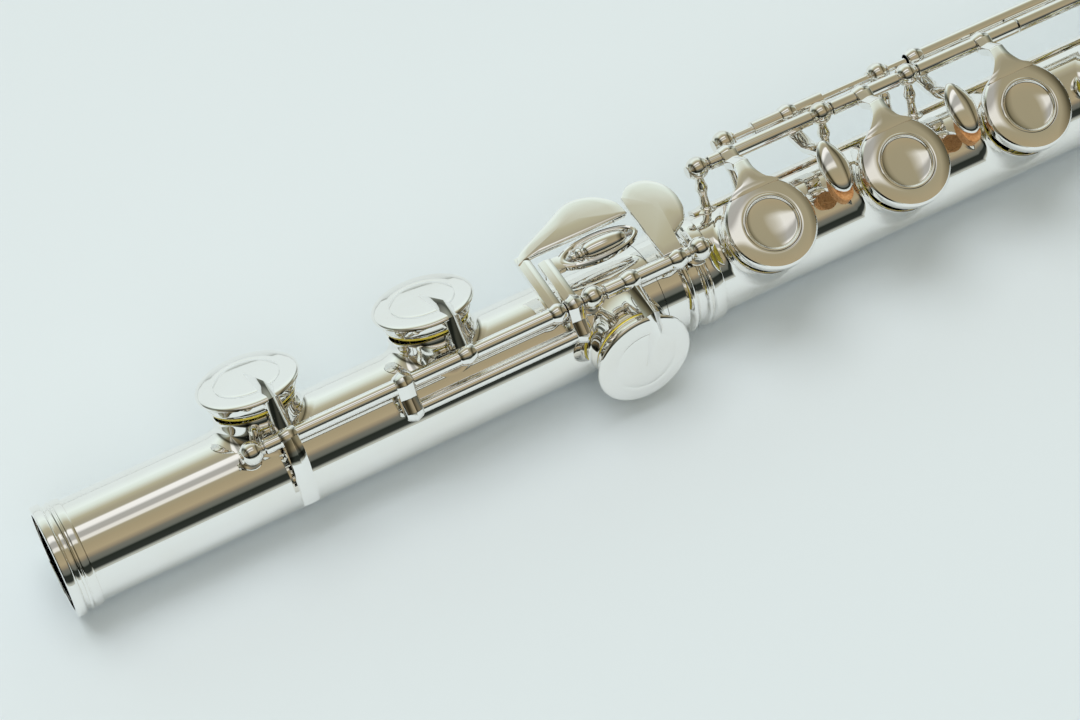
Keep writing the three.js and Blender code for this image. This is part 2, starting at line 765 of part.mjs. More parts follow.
// The G sharp key turns on a rod below its cup; its lever comes up outside the other rods.
const gsharpLever = join([
  bar([
    { x: 270, y: gsharpRod.y, z: gsharpRod.z, half: 1.5, thick: 1.4 },
    { x: 270, y: 17.6, z: -10.4, half: 1.5, thick: 1.5 },
    { x: 270, y: 23.0, z: -4.0, half: 1.5, thick: 1.5 },
    { x: 270, y: 25.6, z: 2.4, half: 1.6, thick: 1.4 },
    { x: 270, y: 26.4, z: 6.4, half: 2.6, thick: 1.2 },
  ]),
  moved(
    shaped(plate(ellipse(0, 0, 9.5, 3.6, 20), 1.3), new THREE.Matrix4().makeRotationX(-1.0)),
    272,
    25.4,
    7.2,
  ),
]);
addKey('gsharp', {
  holes: ['gsharp'],
  axis: gsharpRod,
  cup: discCup,
  cupR: 9.3,
  arm: 'pointed',
  collars: [256],
  tubes: [[245.9, 287.6]],
  extras: [rod(268.3, 271.7, COLLAR_R, gsharpRod), gsharpLever],
});

// Thumb touches: plates that curve over the tube's underside.
const THUMB_OPEN = 9;
function thumbTouch(x, halfLength) {
  const stations = [86, 97, 108, 119, 130].map((angle, i) => ({
    angle,
    radius: 17.8 - 0.25 * i,
    half: i < 1 ? 1.6 : halfLength * [0, 0.55, 1, 1, 0.6][i],
  }));
  return loft(stations.map(({ angle, radius, half }) => {
    const outer = pointAround(radius, angle);
    const inner = pointAround(radius - 1.2, angle);
    return [
      new THREE.Vector3(x - half, inner.y, inner.z),
      new THREE.Vector3(x + half, inner.y, inner.z),
      new THREE.Vector3(x + half, outer.y, outer.z),
      new THREE.Vector3(x - half, outer.y, outer.z),
    ];
  }));
}
addKey('thumb_b', {
  holes: ['thumb_b'],
  axis: thumbRod,
  cup: discCup,
  cupR: 8.5,
  arm: 'pointed',
  collars: [343],
  open: THUMB_OPEN,
  tubes: [[321.3, 355.9]],
  extras: [rod(324.3, 327.7, COLLAR_R, thumbRod), thumbTouch(326, 6.2)],
});
const flatLever = { tubes: [[311.4, 321]], axis: thumbRod };
node('thumb_bflat_lever', bored(
  join([...hingeParts(flatLever, [314.5]), thumbTouch(314.5, 4.2)]),
  flatLever,
), SILVER);

// ---- head joint ------------------------------------------------------------------------
const HEAD_R = 9.9;
const HEAD_TIP_R = 8.95;
const HEAD_WALL = 0.42;
const headR = (x) => THREE.MathUtils.mapLinear(x, 500, CROWN_START, HEAD_R, HEAD_TIP_R);
const BLOW_HALF_X = 6.1;
const BLOW_HALF_Y = 5.2;
const LIP_SHELL_R = 19.2;
const LIP_CENTRE_Z = -4;
const LIP_THICK = 1.0;

function blowHole(grow = 0) {
  return moved(
    plate(ellipse(0, 0, BLOW_HALF_X + grow, BLOW_HALF_Y + grow, 24), 30),
    EMBOUCHURE_X,
    0,
    0,
  );
}

const headOuter = [[HEAD_START, HEAD_R], [500, HEAD_R], [CROWN_START, HEAD_TIP_R]];
const headBore = [[HEAD_START - 1, HEAD_R - HEAD_WALL], [500, HEAD_R - HEAD_WALL],
  [CROWN_START + 1, HEAD_TIP_R - HEAD_WALL]];
node('head_tube', alongX(headOuter, ROUND).subtract(alongX(headBore, ROUND)).subtract(blowHole()),
  SILVER);

const lipAxis = { y: 0, z: LIP_CENTRE_Z };
const lipSpan = [EMBOUCHURE_X - 26, EMBOUCHURE_X + 26];
const lipOuter = rod(...lipSpan, LIP_SHELL_R, lipAxis, 40);
const lipInner = rod(lipSpan[0] - 1, lipSpan[1] + 1, LIP_SHELL_R - LIP_THICK, lipAxis, 40);
const lipPlan = moved(plate(ellipse(0, 0, 24, 13.8, 32), 30), EMBOUCHURE_X, 0, 0);
node('lip_plate', lipOuter.subtract(lipInner).intersect(lipPlan).subtract(blowHole()), SILVER);

const riserBlock = moved(
  plate(ellipse(0, 0, BLOW_HALF_X + 1.6, BLOW_HALF_Y + 1.6, 24), 20),
  EMBOUCHURE_X,
  0,
  2,
);
const underPlate = rod(...lipSpan, LIP_SHELL_R - LIP_THICK - GAP, lipAxis, 40);
node('embouchure_riser', riserBlock
  .intersect(underPlate)
  .subtract(alongX([[580, headR(580) + GAP], [630, headR(580) + GAP]], ROUND))
  .subtract(blowHole()), SILVER);

const STOPPER_FACE = EMBOUCHURE_X + 17;
const SCREW_R = 1.9;
const stopperR = HEAD_TIP_R - HEAD_WALL + 0.05;
node('cork_screw', alongX([
  [STOPPER_FACE, stopperR - 0.2],
  [STOPPER_FACE + 1.2, stopperR - 0.2],
  [STOPPER_FACE + 1.2, SCREW_R],
  [662, SCREW_R],
], 20), STEEL);
node('head_cork', alongX([
  [STOPPER_FACE + 1.4, stopperR - 0.1],
  [STOPPER_FACE + 17, stopperR - 0.1],
], 20, SCREW_R + 0.15), CORK);
node('cork_nut', alongX([
  [STOPPER_FACE + 17.2, 7],
  [STOPPER_FACE + 19, 7],
], 12, SCREW_R + 0.15), STEEL);
node('crown', alongX([
  [CROWN_START + GAP, 9.2],
  [CROWN_START + 0.7, 9.8],
  [CROWN_START + 2.2, 9.8],
  [CROWN_START + 3.0, 9.0],
  [CROWN_START + 5.0, 8.7],
  [CROWN_START + 9.0, 9.7],
  [CROWN_START + 11.5, 9.3],
  [CROWN_START + 13.3, 7.2],
  [CROWN_START + 14.3, 3.6],
  [CROWN_START + 14.5, 0.5],
], 20).subtract(alongX([[CROWN_START - 1, SCREW_R + 0.25], [664, SCREW_R + 0.25]], 12)), SILVER);

// ---- the whole flute, as it lies -------------------------------------------------------
flute.rotation.x = REST_TILT;
flute.updateMatrixWorld(true);
const box = new THREE.Box3().setFromObject(flute, true);
const middle = box.getCenter(new THREE.Vector3());
flute.position.set(-middle.x, -middle.y, -box.min.z);

export default flute;
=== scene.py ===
"""The looks of a concert flute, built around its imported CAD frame."""
import json
import math
import bmesh
import bpy
from mathutils import Matrix, Vector


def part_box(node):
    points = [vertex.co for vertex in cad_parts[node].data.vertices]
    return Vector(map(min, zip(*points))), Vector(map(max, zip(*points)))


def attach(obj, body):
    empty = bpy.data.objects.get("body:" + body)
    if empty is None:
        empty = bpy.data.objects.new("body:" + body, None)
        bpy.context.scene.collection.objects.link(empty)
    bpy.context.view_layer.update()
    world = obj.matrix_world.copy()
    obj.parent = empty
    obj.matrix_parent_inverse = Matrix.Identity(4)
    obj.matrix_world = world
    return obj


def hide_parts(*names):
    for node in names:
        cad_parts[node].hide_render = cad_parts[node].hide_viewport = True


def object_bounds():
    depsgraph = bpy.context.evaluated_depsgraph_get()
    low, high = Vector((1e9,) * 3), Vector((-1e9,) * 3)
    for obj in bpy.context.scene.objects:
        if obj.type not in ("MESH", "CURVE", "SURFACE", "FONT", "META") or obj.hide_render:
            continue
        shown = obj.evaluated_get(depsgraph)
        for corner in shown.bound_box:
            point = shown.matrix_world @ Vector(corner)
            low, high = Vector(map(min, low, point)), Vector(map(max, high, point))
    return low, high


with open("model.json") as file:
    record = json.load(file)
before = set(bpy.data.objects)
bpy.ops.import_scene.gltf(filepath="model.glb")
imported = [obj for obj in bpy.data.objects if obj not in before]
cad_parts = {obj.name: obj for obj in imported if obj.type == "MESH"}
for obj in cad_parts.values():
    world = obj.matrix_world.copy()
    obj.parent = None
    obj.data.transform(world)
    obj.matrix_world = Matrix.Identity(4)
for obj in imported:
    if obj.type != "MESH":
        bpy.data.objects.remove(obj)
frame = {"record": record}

cad_low, cad_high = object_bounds()

# ---- the flute's own frame ------------------------------------------------------------------
# Pieces are made in millimetres with the tube's axis on X, the open cups' side up at +Z and the
# player's side at +Y. An angle called around turns about X from +Z towards +Y.
MM = 0.001
REST_TILT = math.radians(25)
head_low, head_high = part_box("head_tube")
AXIS_Y = (head_low.y + head_high.y) / 2
AXIS_Z = (head_low.z + head_high.z) / 2
TO_ROW = (
    Matrix.Translation((cad_low.x, AXIS_Y, AXIS_Z))
    @ Matrix.Rotation(REST_TILT, 4, "X")
    @ Matrix.Diagonal((MM, MM, MM, 1))
)

BORE_R = 9.5
TUBE_R = 9.95
RING_R = 10.9
CHIMNEY_TOP = 12.35
PAD_BASE = 12.45
HINGE_R = 1.5
COLLAR_R = 2.0
STEEL_R = 0.8
TURN = 96
FINE_TURN = 160
ROD_TURN = 32

body_of_node = {
    node: body for body, nodes in frame["record"]["behaviour"]["bodies"].items() for node in nodes
}


# ---- mesh helpers ---------------------------------------------------------------------------
def part(verts, faces, bevel=0.0, angle=28, steps=2):
    """A closed shell as a bmesh, with its edges sharper than the angle rounded off."""
    bm = bmesh.new()
    made = [bm.verts.new(v) for v in verts]
    for face in faces:
        bm.faces.new([made[i] for i in face])
    bmesh.ops.remove_doubles(bm, verts=bm.verts, dist=1e-5)
    bmesh.ops.recalc_face_normals(bm, faces=bm.faces)
    if bevel:
        sharp = [e for e in bm.edges if e.is_manifold and e.calc_face_angle(0) > math.radians(angle)]
        bmesh.ops.bevel(bm, geom=sharp, offset=bevel, segments=steps, profile=0.6,
                        affect="EDGES", clamp_overlap=True)
    return bm


def placed(bm, matrix):
    bm.transform(matrix)
    return bm


def shift(x, y=0.0, z=0.0):
    return Matrix.Translation((x, y, z))


def around(degrees):
    return Matrix.Rotation(math.radians(-degrees), 4, "X")


def swing(axis, degrees):
    """A turn about the line along X through axis (y, z)."""
    return shift(0, *axis) @ Matrix.Rotation(math.radians(degrees), 4, "X") @ shift(0, -axis[0], -axis[1])


def point_around(radius, degrees):
    angle = math.radians(degrees)
    return radius * math.sin(angle), radius * math.cos(angle)


Z_TO_X = Matrix(((0, 0, 1, 0), (0, 1, 0, 0), (-1, 0, 0, 0), (0, 0, 0, 1)))


def lathe(profile, count=TURN, closed=False):
    """A turned shell about Z through (radius, height) points. An open profile ends on the axis."""
    verts, rings = [], []
    for radius, height in profile:
        if radius < 1e-6:
            rings.append([len(verts)] * count)
            verts.append((0, 0, height))
            continue
        rings.append([len(verts) + i for i in range(count)])
        for i in range(count):
            turn = 2 * math.pi * i / count
            verts.append((radius * math.cos(turn), radius * math.sin(turn), height))
    pairs = list(zip(rings, rings[1:]))
    if closed:
        pairs.append((rings[-1], rings[0]))
    faces = []
    for low, high in pairs:
        for i in range(count):
            j = (i + 1) % count
            corners = [low[i], low[j], high[j], high[i]]
            face = [c for k, c in enumerate(corners) if c not in corners[:k]]
            if len(face) > 2:
                faces.append(face)
    return part(verts, faces)


def along_x(profile, count=TURN, bore=0.0, axis=(0, 0)):
    """A turned shell along X from (x, radius) points, with a bore when one is given."""
    points = [(r, x) for x, r in profile]
    if bore:
        points += [(bore, profile[-1][0]), (bore, profile[0][0])]
    else:
        points = [(0, profile[0][0])] + points + [(0, profile[-1][0])]
    return placed(lathe(points, count, closed=bore > 0), shift(0, *axis) @ Z_TO_X)


def rod(x0, x1, radius, axis, edge=0.12, count=ROD_TURN):
    return along_x([(x0, radius - edge), (x0 + edge, radius), (x1 - edge, radius),
                    (x1, radius - edge)], count, axis=axis)


def collar(x, axis, half=1.7, radius=COLLAR_R):
    """A ring with a ridge round its middle."""
    return along_x([(x - half, HINGE_R), (x - half + 0.25, radius - 0.3), (x - 0.5, radius - 0.02),
                    (x, radius + 0.1), (x + 0.5, radius - 0.02), (x + half - 0.25, radius - 0.3),
                    (x + half, HINGE_R)], ROD_TURN, axis=axis)


def loft(rings, bevel=0.0, angle=28, steps=2):
    count = len(rings[0])
    verts = [v for ring in rings for v in ring]
    faces = [list(range(count))[::-1], [len(verts) - count + i for i in range(count)]]
    for r in range(len(rings) - 1):
        for i in range(count):
            j = (i + 1) % count
            a, b = r * count, (r + 1) * count
            faces.append([a + i, a + j, b + j, b + i])
    return part(verts, faces, bevel, angle, steps)


def spline(points, steps):
    """Points on a smooth curve through lists of numbers, with the given steps between each two."""
    made = []
    for i in range(len(points) - 1):
        p0 = points[max(i - 1, 0)]
        p1, p2 = points[i], points[i + 1]
        p3 = points[min(i + 2, len(points) - 1)]
        for s in range(steps):
            t = s / steps
            made.append([
                0.5 * (2 * b + (c - a) * t + (2 * a - 5 * b + 4 * c - d) * t * t
                       + (3 * b - a - 3 * c + d) * t ** 3)
                for a, b, c, d in zip(p0, p1, p2, p3)
            ])
    return made + [list(points[-1])]


def bar(stations, bevel=0.1, smooth=0, foot=1.0):
    """A bar through (x, y, z, half width, thickness, ridge height) stations in a YZ run. Its
    underside has the given share of its width."""
    runs = spline(stations, smooth) if smooth else stations
    rings = []
    for i, (x, y, z, half, thick, ridge) in enumerate(runs):
        before, after = runs[max(i - 1, 0)], runs[min(i + 1, len(runs) - 1)]
        run = Vector((after[1] - before[1], after[2] - before[2])).normalized()
        up = Vector((run.y, -run.x)) if run.x < 0 else Vector((-run.y, run.x))

        def at(dx, lift):
            return (x + dx, y + up.x * lift, z + up.y * lift)
        rings.append([at(-half * foot, -thick), at(half * foot, -thick), at(half, 0),
                      at(half * 0.5, ridge * 0.5), at(0, ridge), at(-half * 0.5, ridge * 0.5),
                      at(-half, 0)])
    return loft(rings, bevel, 24)


def slab(outline, low, high, bevel=0.15, dome=0.0, steps=3):
    """A plate between two heights with a rounded rim, its top domed towards the middle."""
    cx = sum(u for u, v in outline) / len(outline)
    cy = sum(v for u, v in outline) / len(outline)

    def ring(shrink, z):
        made = []
        for u, v in outline:
            away = math.hypot(u - cx, v - cy)
            scale = max(0.0, 1 - shrink / away)
            made.append((cx + (u - cx) * scale, cy + (v - cy) * scale, z))
        return made
    half_turn = [math.pi / 2 * k / steps for k in range(steps + 1)]
    rings = [ring(bevel * (1 - math.sin(a)), low + bevel * (1 - math.cos(a))) for a in half_turn]
    rings += [ring(bevel * (1 - math.cos(a)), high - bevel * (1 - math.sin(a))) for a in half_turn]
    for share in (0.8, 0.6, 0.4, 0.2):
        rings.append([(cx + (u - cx) * share, cy + (v - cy) * share, high + dome * (1 - share ** 2))
                      for u, v in outline])
    return loft(rings)


def oval(cx, cy, rx, ry, count=48):
    return [(cx + rx * math.cos(2 * math.pi * i / count), cy + ry * math.sin(2 * math.pi * i / count))
            for i in range(count)]


def sphere(radius, centre, count=40):
    profile = [(radius * math.sin(math.pi * k / 24), -radius * math.cos(math.pi * k / 24))
               for k in range(25)]
    profile[0] = (0, -radius)
    profile[-1] = (0, radius)
    return placed(lathe(profile, count), shift(*centre))


def joined(parts):
    whole = bmesh.new()
    for bm in parts:
        mesh = bpy.data.meshes.new("part")
        bm.to_mesh(mesh)
        bm.free()
        whole.from_mesh(mesh)
        bpy.data.meshes.remove(mesh)
    return whole


def as_object(name, bm):
    mesh = bpy.data.meshes.new(name)
    bm.to_mesh(mesh)
    bm.free()
    made = bpy.data.objects.new(name, mesh)
    bpy.context.scene.collection.objects.link(made)
    return made


def boolean(target, bm, operation):
    """Joins the closed shell to the object or cuts it away."""
    other = as_object("cutter", bm)
    modifier = target.modifiers.new("cut", "BOOLEAN")
    modifier.operation = operation
    modifier.solver = "MANIFOLD"
    modifier.object = other
    bpy.context.view_layer.update()
    result = bpy.data.meshes.new_from_object(target.evaluated_get(bpy.context.evaluated_depsgraph_get()))
    target.modifiers.clear()
    target.data = result
    bpy.data.objects.remove(other)


def round_normals(mesh, surfaces, within=25):
    """Gives the corners that lie on a round surface about the tube's axis that surface's own
    normals. A surface is (radius at x, sign); what lies on none keeps its smoothed normals."""
    up = TO_ROW.to_3x3().normalized()
    limit = math.cos(math.radians(within))
    to_tube = TO_ROW.inverted()
    local = [to_tube @ v.co for v in mesh.vertices]
    normals = [Vector(c.vector) for c in mesh.corner_normals]
    for face in mesh.polygons:
        for corner in face.loop_indices:
            p = local[mesh.loops[corner].vertex_index]
            across = Vector((0, p.y, p.z))
            for radius_at, sign in surfaces:
                if abs(across.length - radius_at(p.x)) < 0.03:
                    radial = (up @ across.normalized()) * sign
                    if radial.dot(face.normal) > limit:
                        normals[corner] = radial
    mesh.normals_split_custom_set(normals)


def show(node, made, material, sharp=32, surfaces=None):
    """Puts a finished piece in the CAD node's place."""
    if not isinstance(made, bpy.types.Object):
        made = as_object("piece", made)
    made.name = f"{node}.fine"
    mesh = made.data
    mesh.name = made.name
    mesh.transform(TO_ROW)
    mesh.shade_smooth()
    mesh.set_sharp_from_angle(angle=math.radians(sharp))
    if surfaces:
        round_normals(mesh, surfaces)
    mesh.materials.clear()
    mesh.materials.append(material)
    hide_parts(node)
    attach(made, body_of_node[node])


# ---- materials ------------------------------------------------------------------------------
def new_material(name):
    material = bpy.data.materials.new(name)
    material.use_nodes = True
    tree = material.node_tree
    return material, tree, tree.nodes["Principled BSDF"]


def noise_node(tree, scale, detail=3.0, roughness=0.5, stretch=(1, 1, 1)):
    """Noise over the object's own coordinates, in metres."""
    place = tree.nodes.new("ShaderNodeTexCoord")
    mapping = tree.nodes.new("ShaderNodeMapping")
    mapping.inputs["Scale"].default_value = stretch
    texture = tree.nodes.new("ShaderNodeTexNoise")
    texture.inputs["Scale"].default_value = scale
    texture.inputs["Detail"].default_value = detail
    texture.inputs["Roughness"].default_value = roughness
    tree.links.new(place.outputs["Object"], mapping.inputs["Vector"])
    tree.links.new(mapping.outputs["Vector"], texture.inputs["Vector"])
    return texture.outputs["Fac"]


def ramp(tree, source, stops, interpolation="EASE"):
    made = tree.nodes.new("ShaderNodeValToRGB")
    made.color_ramp.interpolation = interpolation
    elements = made.color_ramp.elements
    elements[0].position, elements[-1].position = stops[0][0], stops[-1][0]
    elements[0].color, elements[-1].color = (*stops[0][1], 1), (*stops[-1][1], 1)
    for place, colour in stops[1:-1]:
        elements.new(place).color = (*colour, 1)
    tree.links.new(source, made.inputs["Fac"])
    return made.outputs["Color"]


def bump(tree, shader, source, distance, strength=1.0):
    made = tree.nodes.new("ShaderNodeBump")
    made.inputs["Distance"].default_value = distance
    made.inputs["Strength"].default_value = strength
    tree.links.new(source, made.inputs["Height"])
    tree.links.new(made.outputs["Normal"], shader.inputs["Normal"])


def metal(name, bright, toned, smooth, rough, polish_scale=420, polish_depth=0.0000016):
    """Polished metal: faint toning in its colour, rubbed patches in its gloss, and the slight
    waviness that a buffing wheel leaves."""
    material, tree, shader = new_material(name)
    shader.inputs["Metallic"].default_value = 1.0
    tone = noise_node(tree, 45, 4, 0.6)
    tree.links.new(ramp(tree, tone, [(0.35, bright), (0.75, toned)]), shader.inputs["Base Color"])
    rubbed = noise_node(tree, 260, 5, 0.65, (0.4, 1, 1))
    tree.links.new(ramp(tree, rubbed, [(0.3, (smooth,) * 3), (0.8, (rough,) * 3)]),
                   shader.inputs["Roughness"])
    bump(tree, shader, noise_node(tree, polish_scale, 2, 0.5, (0.25, 1, 1)), polish_depth)
    return material


silver_tube = metal("silver_tube", (0.950, 0.940, 0.920), (0.920, 0.900, 0.860), 0.02, 0.055)
silver_keys = metal("silver_keys", (0.955, 0.945, 0.925), (0.925, 0.905, 0.870), 0.015, 0.06)
silver_posts = metal("silver_posts", (0.940, 0.925, 0.895), (0.88, 0.85, 0.78), 0.02, 0.08)
steel = metal("steel", (0.60, 0.61, 0.62), (0.52, 0.52, 0.53), 0.12, 0.26, 2500, 0.000003)


def skin_material():
    """Goldbeater's skin stretched over felt: thin, yellow and a little shiny."""
    material, tree, shader = new_material("pad_skin")
    blotches = noise_node(tree, 420, 4, 0.6)
    tree.links.new(ramp(tree, blotches, [(0.3, (0.84, 0.66, 0.05)), (0.7, (0.92, 0.78, 0.12))]),
                   shader.inputs["Base Color"])
    tree.links.new(ramp(tree, blotches, [(0.2, (0.38,) * 3), (0.8, (0.55,) * 3)]),
                   shader.inputs["Roughness"])
    shader.inputs["Coat Weight"].default_value = 0.25
    shader.inputs["Coat Roughness"].default_value = 0.3
    bump(tree, shader, noise_node(tree, 1500, 3, 0.6), 0.00004)
    return material


def cork_material():
    material, tree, shader = new_material("cork")
    grain = noise_node(tree, 1300, 6, 0.7)
    tree.links.new(ramp(tree, grain, [(0.32, (0.30, 0.12, 0.035)), (0.46, (0.60, 0.29, 0.11)),
                                      (0.7, (0.74, 0.42, 0.19))]), shader.inputs["Base Color"])
    shader.inputs["Roughness"].default_value = 0.82
    bump(tree, shader, grain, 0.00025, 0.8)
    return material


pad_skin = skin_material()
cork = cork_material()


# ---- tone holes -----------------------------------------------------------------------------
MAIN_AROUND = -6.5
G_AROUND = -18.5
FOOT_AROUND = 57
TRILL_AROUND = 105
HOLES = {
    "c": (44.4, FOOT_AROUND, 7.7),
    "csharp": (80.2, FOOT_AROUND, 7.7),
    "dsharp": (113.9, -55.5, 7.7),
    "d": (145.9, MAIN_AROUND, 7.6),
    "e": (176.1, MAIN_AROUND, 7.6),
    "f": (204.5, MAIN_AROUND, 7.6),
    "fsharp": (231, MAIN_AROUND, 7.3),
    "g_lower": (256, G_AROUND, 7.1),
    "g_upper": (280, G_AROUND, 7.1),
    "gsharp": (256, 104, 7.1),
    "a": (302.5, MAIN_AROUND, 7.0),
    "bflat": (323.5, MAIN_AROUND, 7.0),
    "thumb_b": (343, 124.5, 6.6),
    "csharp_vent": (370, MAIN_AROUND, 3.4),
    "d_trill": (388, TRILL_AROUND, 3.9),
    "dsharp_trill": (405, TRILL_AROUND, 3.9),
}
FOOT_HOLES = ("c", "csharp", "dsharp")
FLARES = {"dsharp": 0.7, "d": 2.0, "a": 2.6, "bflat": 2.6, "thumb_b": 2.6, "d_trill": 1.4}


def chimney(name):
    """The drawn wall of a tone hole, which flares out into the tube's own surface."""
    x, angle, radius = HOLES[name]
    top_r = radius + 0.5
    flare = FLARES.get(name, 3.6 if radius > 5 else 1.8)
    count = 72
    walls = []
    for i in range(count):
        turn = 2 * math.pi * i / count
        c, s = math.cos(turn), math.sin(turn)
        spread = flare * c * c + min(1.0, TUBE_R - 0.25 - top_r) * s * s
        foot_r = top_r + spread

        def surface(r):
            return math.sqrt(max(TUBE_R ** 2 - (r * s) ** 2, 0.2))
        top = Vector((top_r, CHIMNEY_TOP - 0.25))
        corner = Vector((top_r, surface(top_r)))
        foot = Vector((foot_r, surface(foot_r) - 0.01))
        shoulder = top.lerp(corner, 0.55)
        wall = [Vector((top_r - 0.22, CHIMNEY_TOP)), Vector((top_r - 0.07, CHIMNEY_TOP - 0.07))]
        for k in range(13):
            t = k / 12
            wall.append(top * (1 - t) ** 3 + shoulder * 3 * t * (1 - t) ** 2
                        + corner * 3 * t * t * (1 - t) + foot * t ** 3)
        wall.append(Vector((foot_r - 0.4, surface(foot_r) - 0.25 - 0.5 * s * s)))
        wall.append(Vector((3, 4)))
        walls.append([(p.x * c, p.x * s, p.y) for p in wall])
    rings = [[walls[i][k] for i in range(count)] for k in range(len(walls[0]))]
    return placed(loft(rings), around(angle) @ shift(x))


def hole_cutter(name):
    x, angle, radius = HOLES[name]
    return placed(lathe([(0, 2), (radius, 2), (radius, CHIMNEY_TOP - 0.15),
                         (radius + 0.12, CHIMNEY_TOP), (radius + 0.12, CHIMNEY_TOP + 2),
                         (0, CHIMNEY_TOP + 2)], 72), around(angle) @ shift(x))


def drilled_tube(profile, names):
    tube = as_object("tube", along_x(profile, FINE_TURN))
    for name in names:
        boolean(tube, chimney(name), "UNION")
    first, last = profile[0][0], profile[-1][0]
    boolean(tube, along_x([(first - 1, BORE_R), (last + 1, BORE_R)], FINE_TURN), "DIFFERENCE")
    for name in names:
        boolean(tube, hole_cutter(name), "DIFFERENCE")
    return tube


# ---- cups, pads and arms --------------------------------------------------------------------
def plateau_cup(r):
    """A main cup: rounded wall, softly domed rim, a bead, and a shallow dish inside it."""
    shoulder = [(r * (0.64 + 0.36 * t), 3.68 - 0.42 * t * t) for t in (0.86, 0.7, 0.55, 0.4, 0.25, 0.1)]
    return lathe([
        (0, 2.2), (r - 0.75, 2.2), (r - 0.75, 0.78), (r - 0.68, 0.7), (r - 0.42, 0.68),
        (r - 0.28, 0.76), (r - 0.12, 1.05), (r - 0.03, 1.35), (r, 1.7), (r, 2.55), (r - 0.02, 2.75),
        (r - 0.08, 2.95), (r - 0.19, 3.12), (r - 0.34, 3.26), *shoulder, (r * 0.64, 3.68),
        (r * 0.632, 3.66), (r * 0.625, 3.70), (r * 0.612, 3.76), (r * 0.598, 3.77), (r * 0.585, 3.73),
        (r * 0.572, 3.61), (r * 0.562, 3.44), (r * 0.552, 3.30), (r * 0.54, 3.22), (r * 0.52, 3.17),
        (r * 0.45, 3.07), (r * 0.35, 2.98), (r * 0.2, 2.92), (r * 0.08, 2.9), (0, 2.9),
    ])


def disc_cup(r):
    """A foot cup: a thin disc with a fine engraved ring, on a narrower stepped wall."""
    wall = r - 1.4

    def crown_at(radius):
        return 3.78 + 0.5 * (1 - (radius / r) ** 2)

    ring, half, depth = r * 0.637, 0.06, 0.03
    top = [(radius, crown_at(radius)) for radius in (r - 1.0, r - 1.6, r - 2.6)]
    top += [(ring + half, crown_at(ring + half)), (ring, crown_at(ring) - depth),
            (ring - half, crown_at(ring - half))]
    top += [(radius, crown_at(radius)) for radius in (r * 0.55, r * 0.45, r * 0.36, r * 0.2, r * 0.1, 0)]
    return lathe([
        (0, 2.2), (wall - 0.5, 2.2), (wall - 0.5, 0.78), (wall - 0.42, 0.7), (wall, 0.68),
        (wall + 0.12, 0.74), (wall + 0.16, 0.86), (wall + 0.12, 0.99), (wall, 1.06),
        (wall - 0.04, 1.2), (wall - 0.04, 2.45), (wall + 0.05, 2.66), (wall + 0.3, 2.8),
        (r - 0.55, 2.9), (r - 0.22, 2.95), (r - 0.06, 3.04), (r, 3.18), (r - 0.03, 3.34),
        (r - 0.11, 3.49), (r - 0.24, 3.62), (r - 0.43, 3.73), (r - 0.68, 3.81), *top,
    ])


ARM_TOP = {"disc": 4.2, "plateau": 3.5}
PAD_INSET = {"disc": 1.5, "plateau": 0.55}


def pad_shape(r):
    """Felt under skin: a soft rounded rim, a flat face, and the faint dent of the hole's edge."""
    return lathe([(0, 0.06), (r * 0.7, 0.06), (r * 0.86, 0.1), (r * 0.9, 0.06), (r - 0.4, 0.02),
                  (r - 0.18, 0.06), (r - 0.05, 0.18), (r, 0.34), (r, 0.5), (r - 0.06, 0.62),
                  (r - 0.5, 0.64), (r - 0.6, 1.0), (r - 0.6, 2.1), (0, 2.1)])


def in_hole_frame(axis, angle):
    a = math.radians(angle)
    return (axis[0] * math.cos(a) - axis[1] * math.sin(a),
            axis[0] * math.sin(a) + axis[1] * math.cos(a))


def flared_arm(collar_x, cup_x, r, pivot):
    """The arm of a main cup: narrow and faceted at its collar, then a fishtail into the rim."""
    top = PAD_BASE + ARM_TOP["plateau"]
    side = math.copysign(1, pivot[0])
    edge = side * r
    middle = (pivot[0] + edge) / 2
    neck = [
        (collar_x, pivot[0] + side * 0.3, pivot[1] + COLLAR_R - 0.15, 1.6, 2.0, 0.25),
        (collar_x, pivot[0] - side * 1.5, pivot[1] + COLLAR_R + 0.25, 1.55, 1.9, 0.3),
        (collar_x, middle + side * 0.7, (pivot[1] + top) / 2 + 1.45, 1.5, 1.5, 0.3),
    ]
    tail = [
        neck[-1],
        ((collar_x + cup_x) / 2, (middle + side * 0.7 + edge) / 2, (neck[-1][2] + top) / 2 + 0.25,
         1.75, 1.3, 0.25),
        (cup_x, edge, top + 0.02, 3.1, 1.1, 0.12),
        (cup_x, edge - side * 1.1, top + 0.2, 4.5, 0.9, 0.06),
        (cup_x, edge - side * 2.0, top + 0.16, 5.5, 0.7, 0.02),
    ]
    return [bar(neck, 0.12), bar(tail, 0.08, smooth=6)]


def pointed_arm(collar_x, cup_x, r, pivot, top):
    """A ridged arm with a bend, which ends in a point a little past the cup's middle."""
    past = 1.2
    side = math.copysign(1, pivot[0])
    knee = max(pivot[1] + 1.4, top - 1.0)
    return [bar([
        (collar_x, pivot[0] + side * 0.4, pivot[1] + 1.0, 1.4, 2.1, 0.9),
        (collar_x, pivot[0] - side * 0.6, pivot[1] + 1.6, 1.5, 2.1, 1.0),
        (collar_x, pivot[0] - side * 2.4, knee - 0.1, 1.5, 1.5, 1.5),
        (collar_x, side * r * 0.66, top - 0.1, 1.45, 0.8, 1.75),
        (cup_x, -side * past, top + 0.2, 0.12, 0.9, 0.15),
    ], 0.05, foot=0.45)]


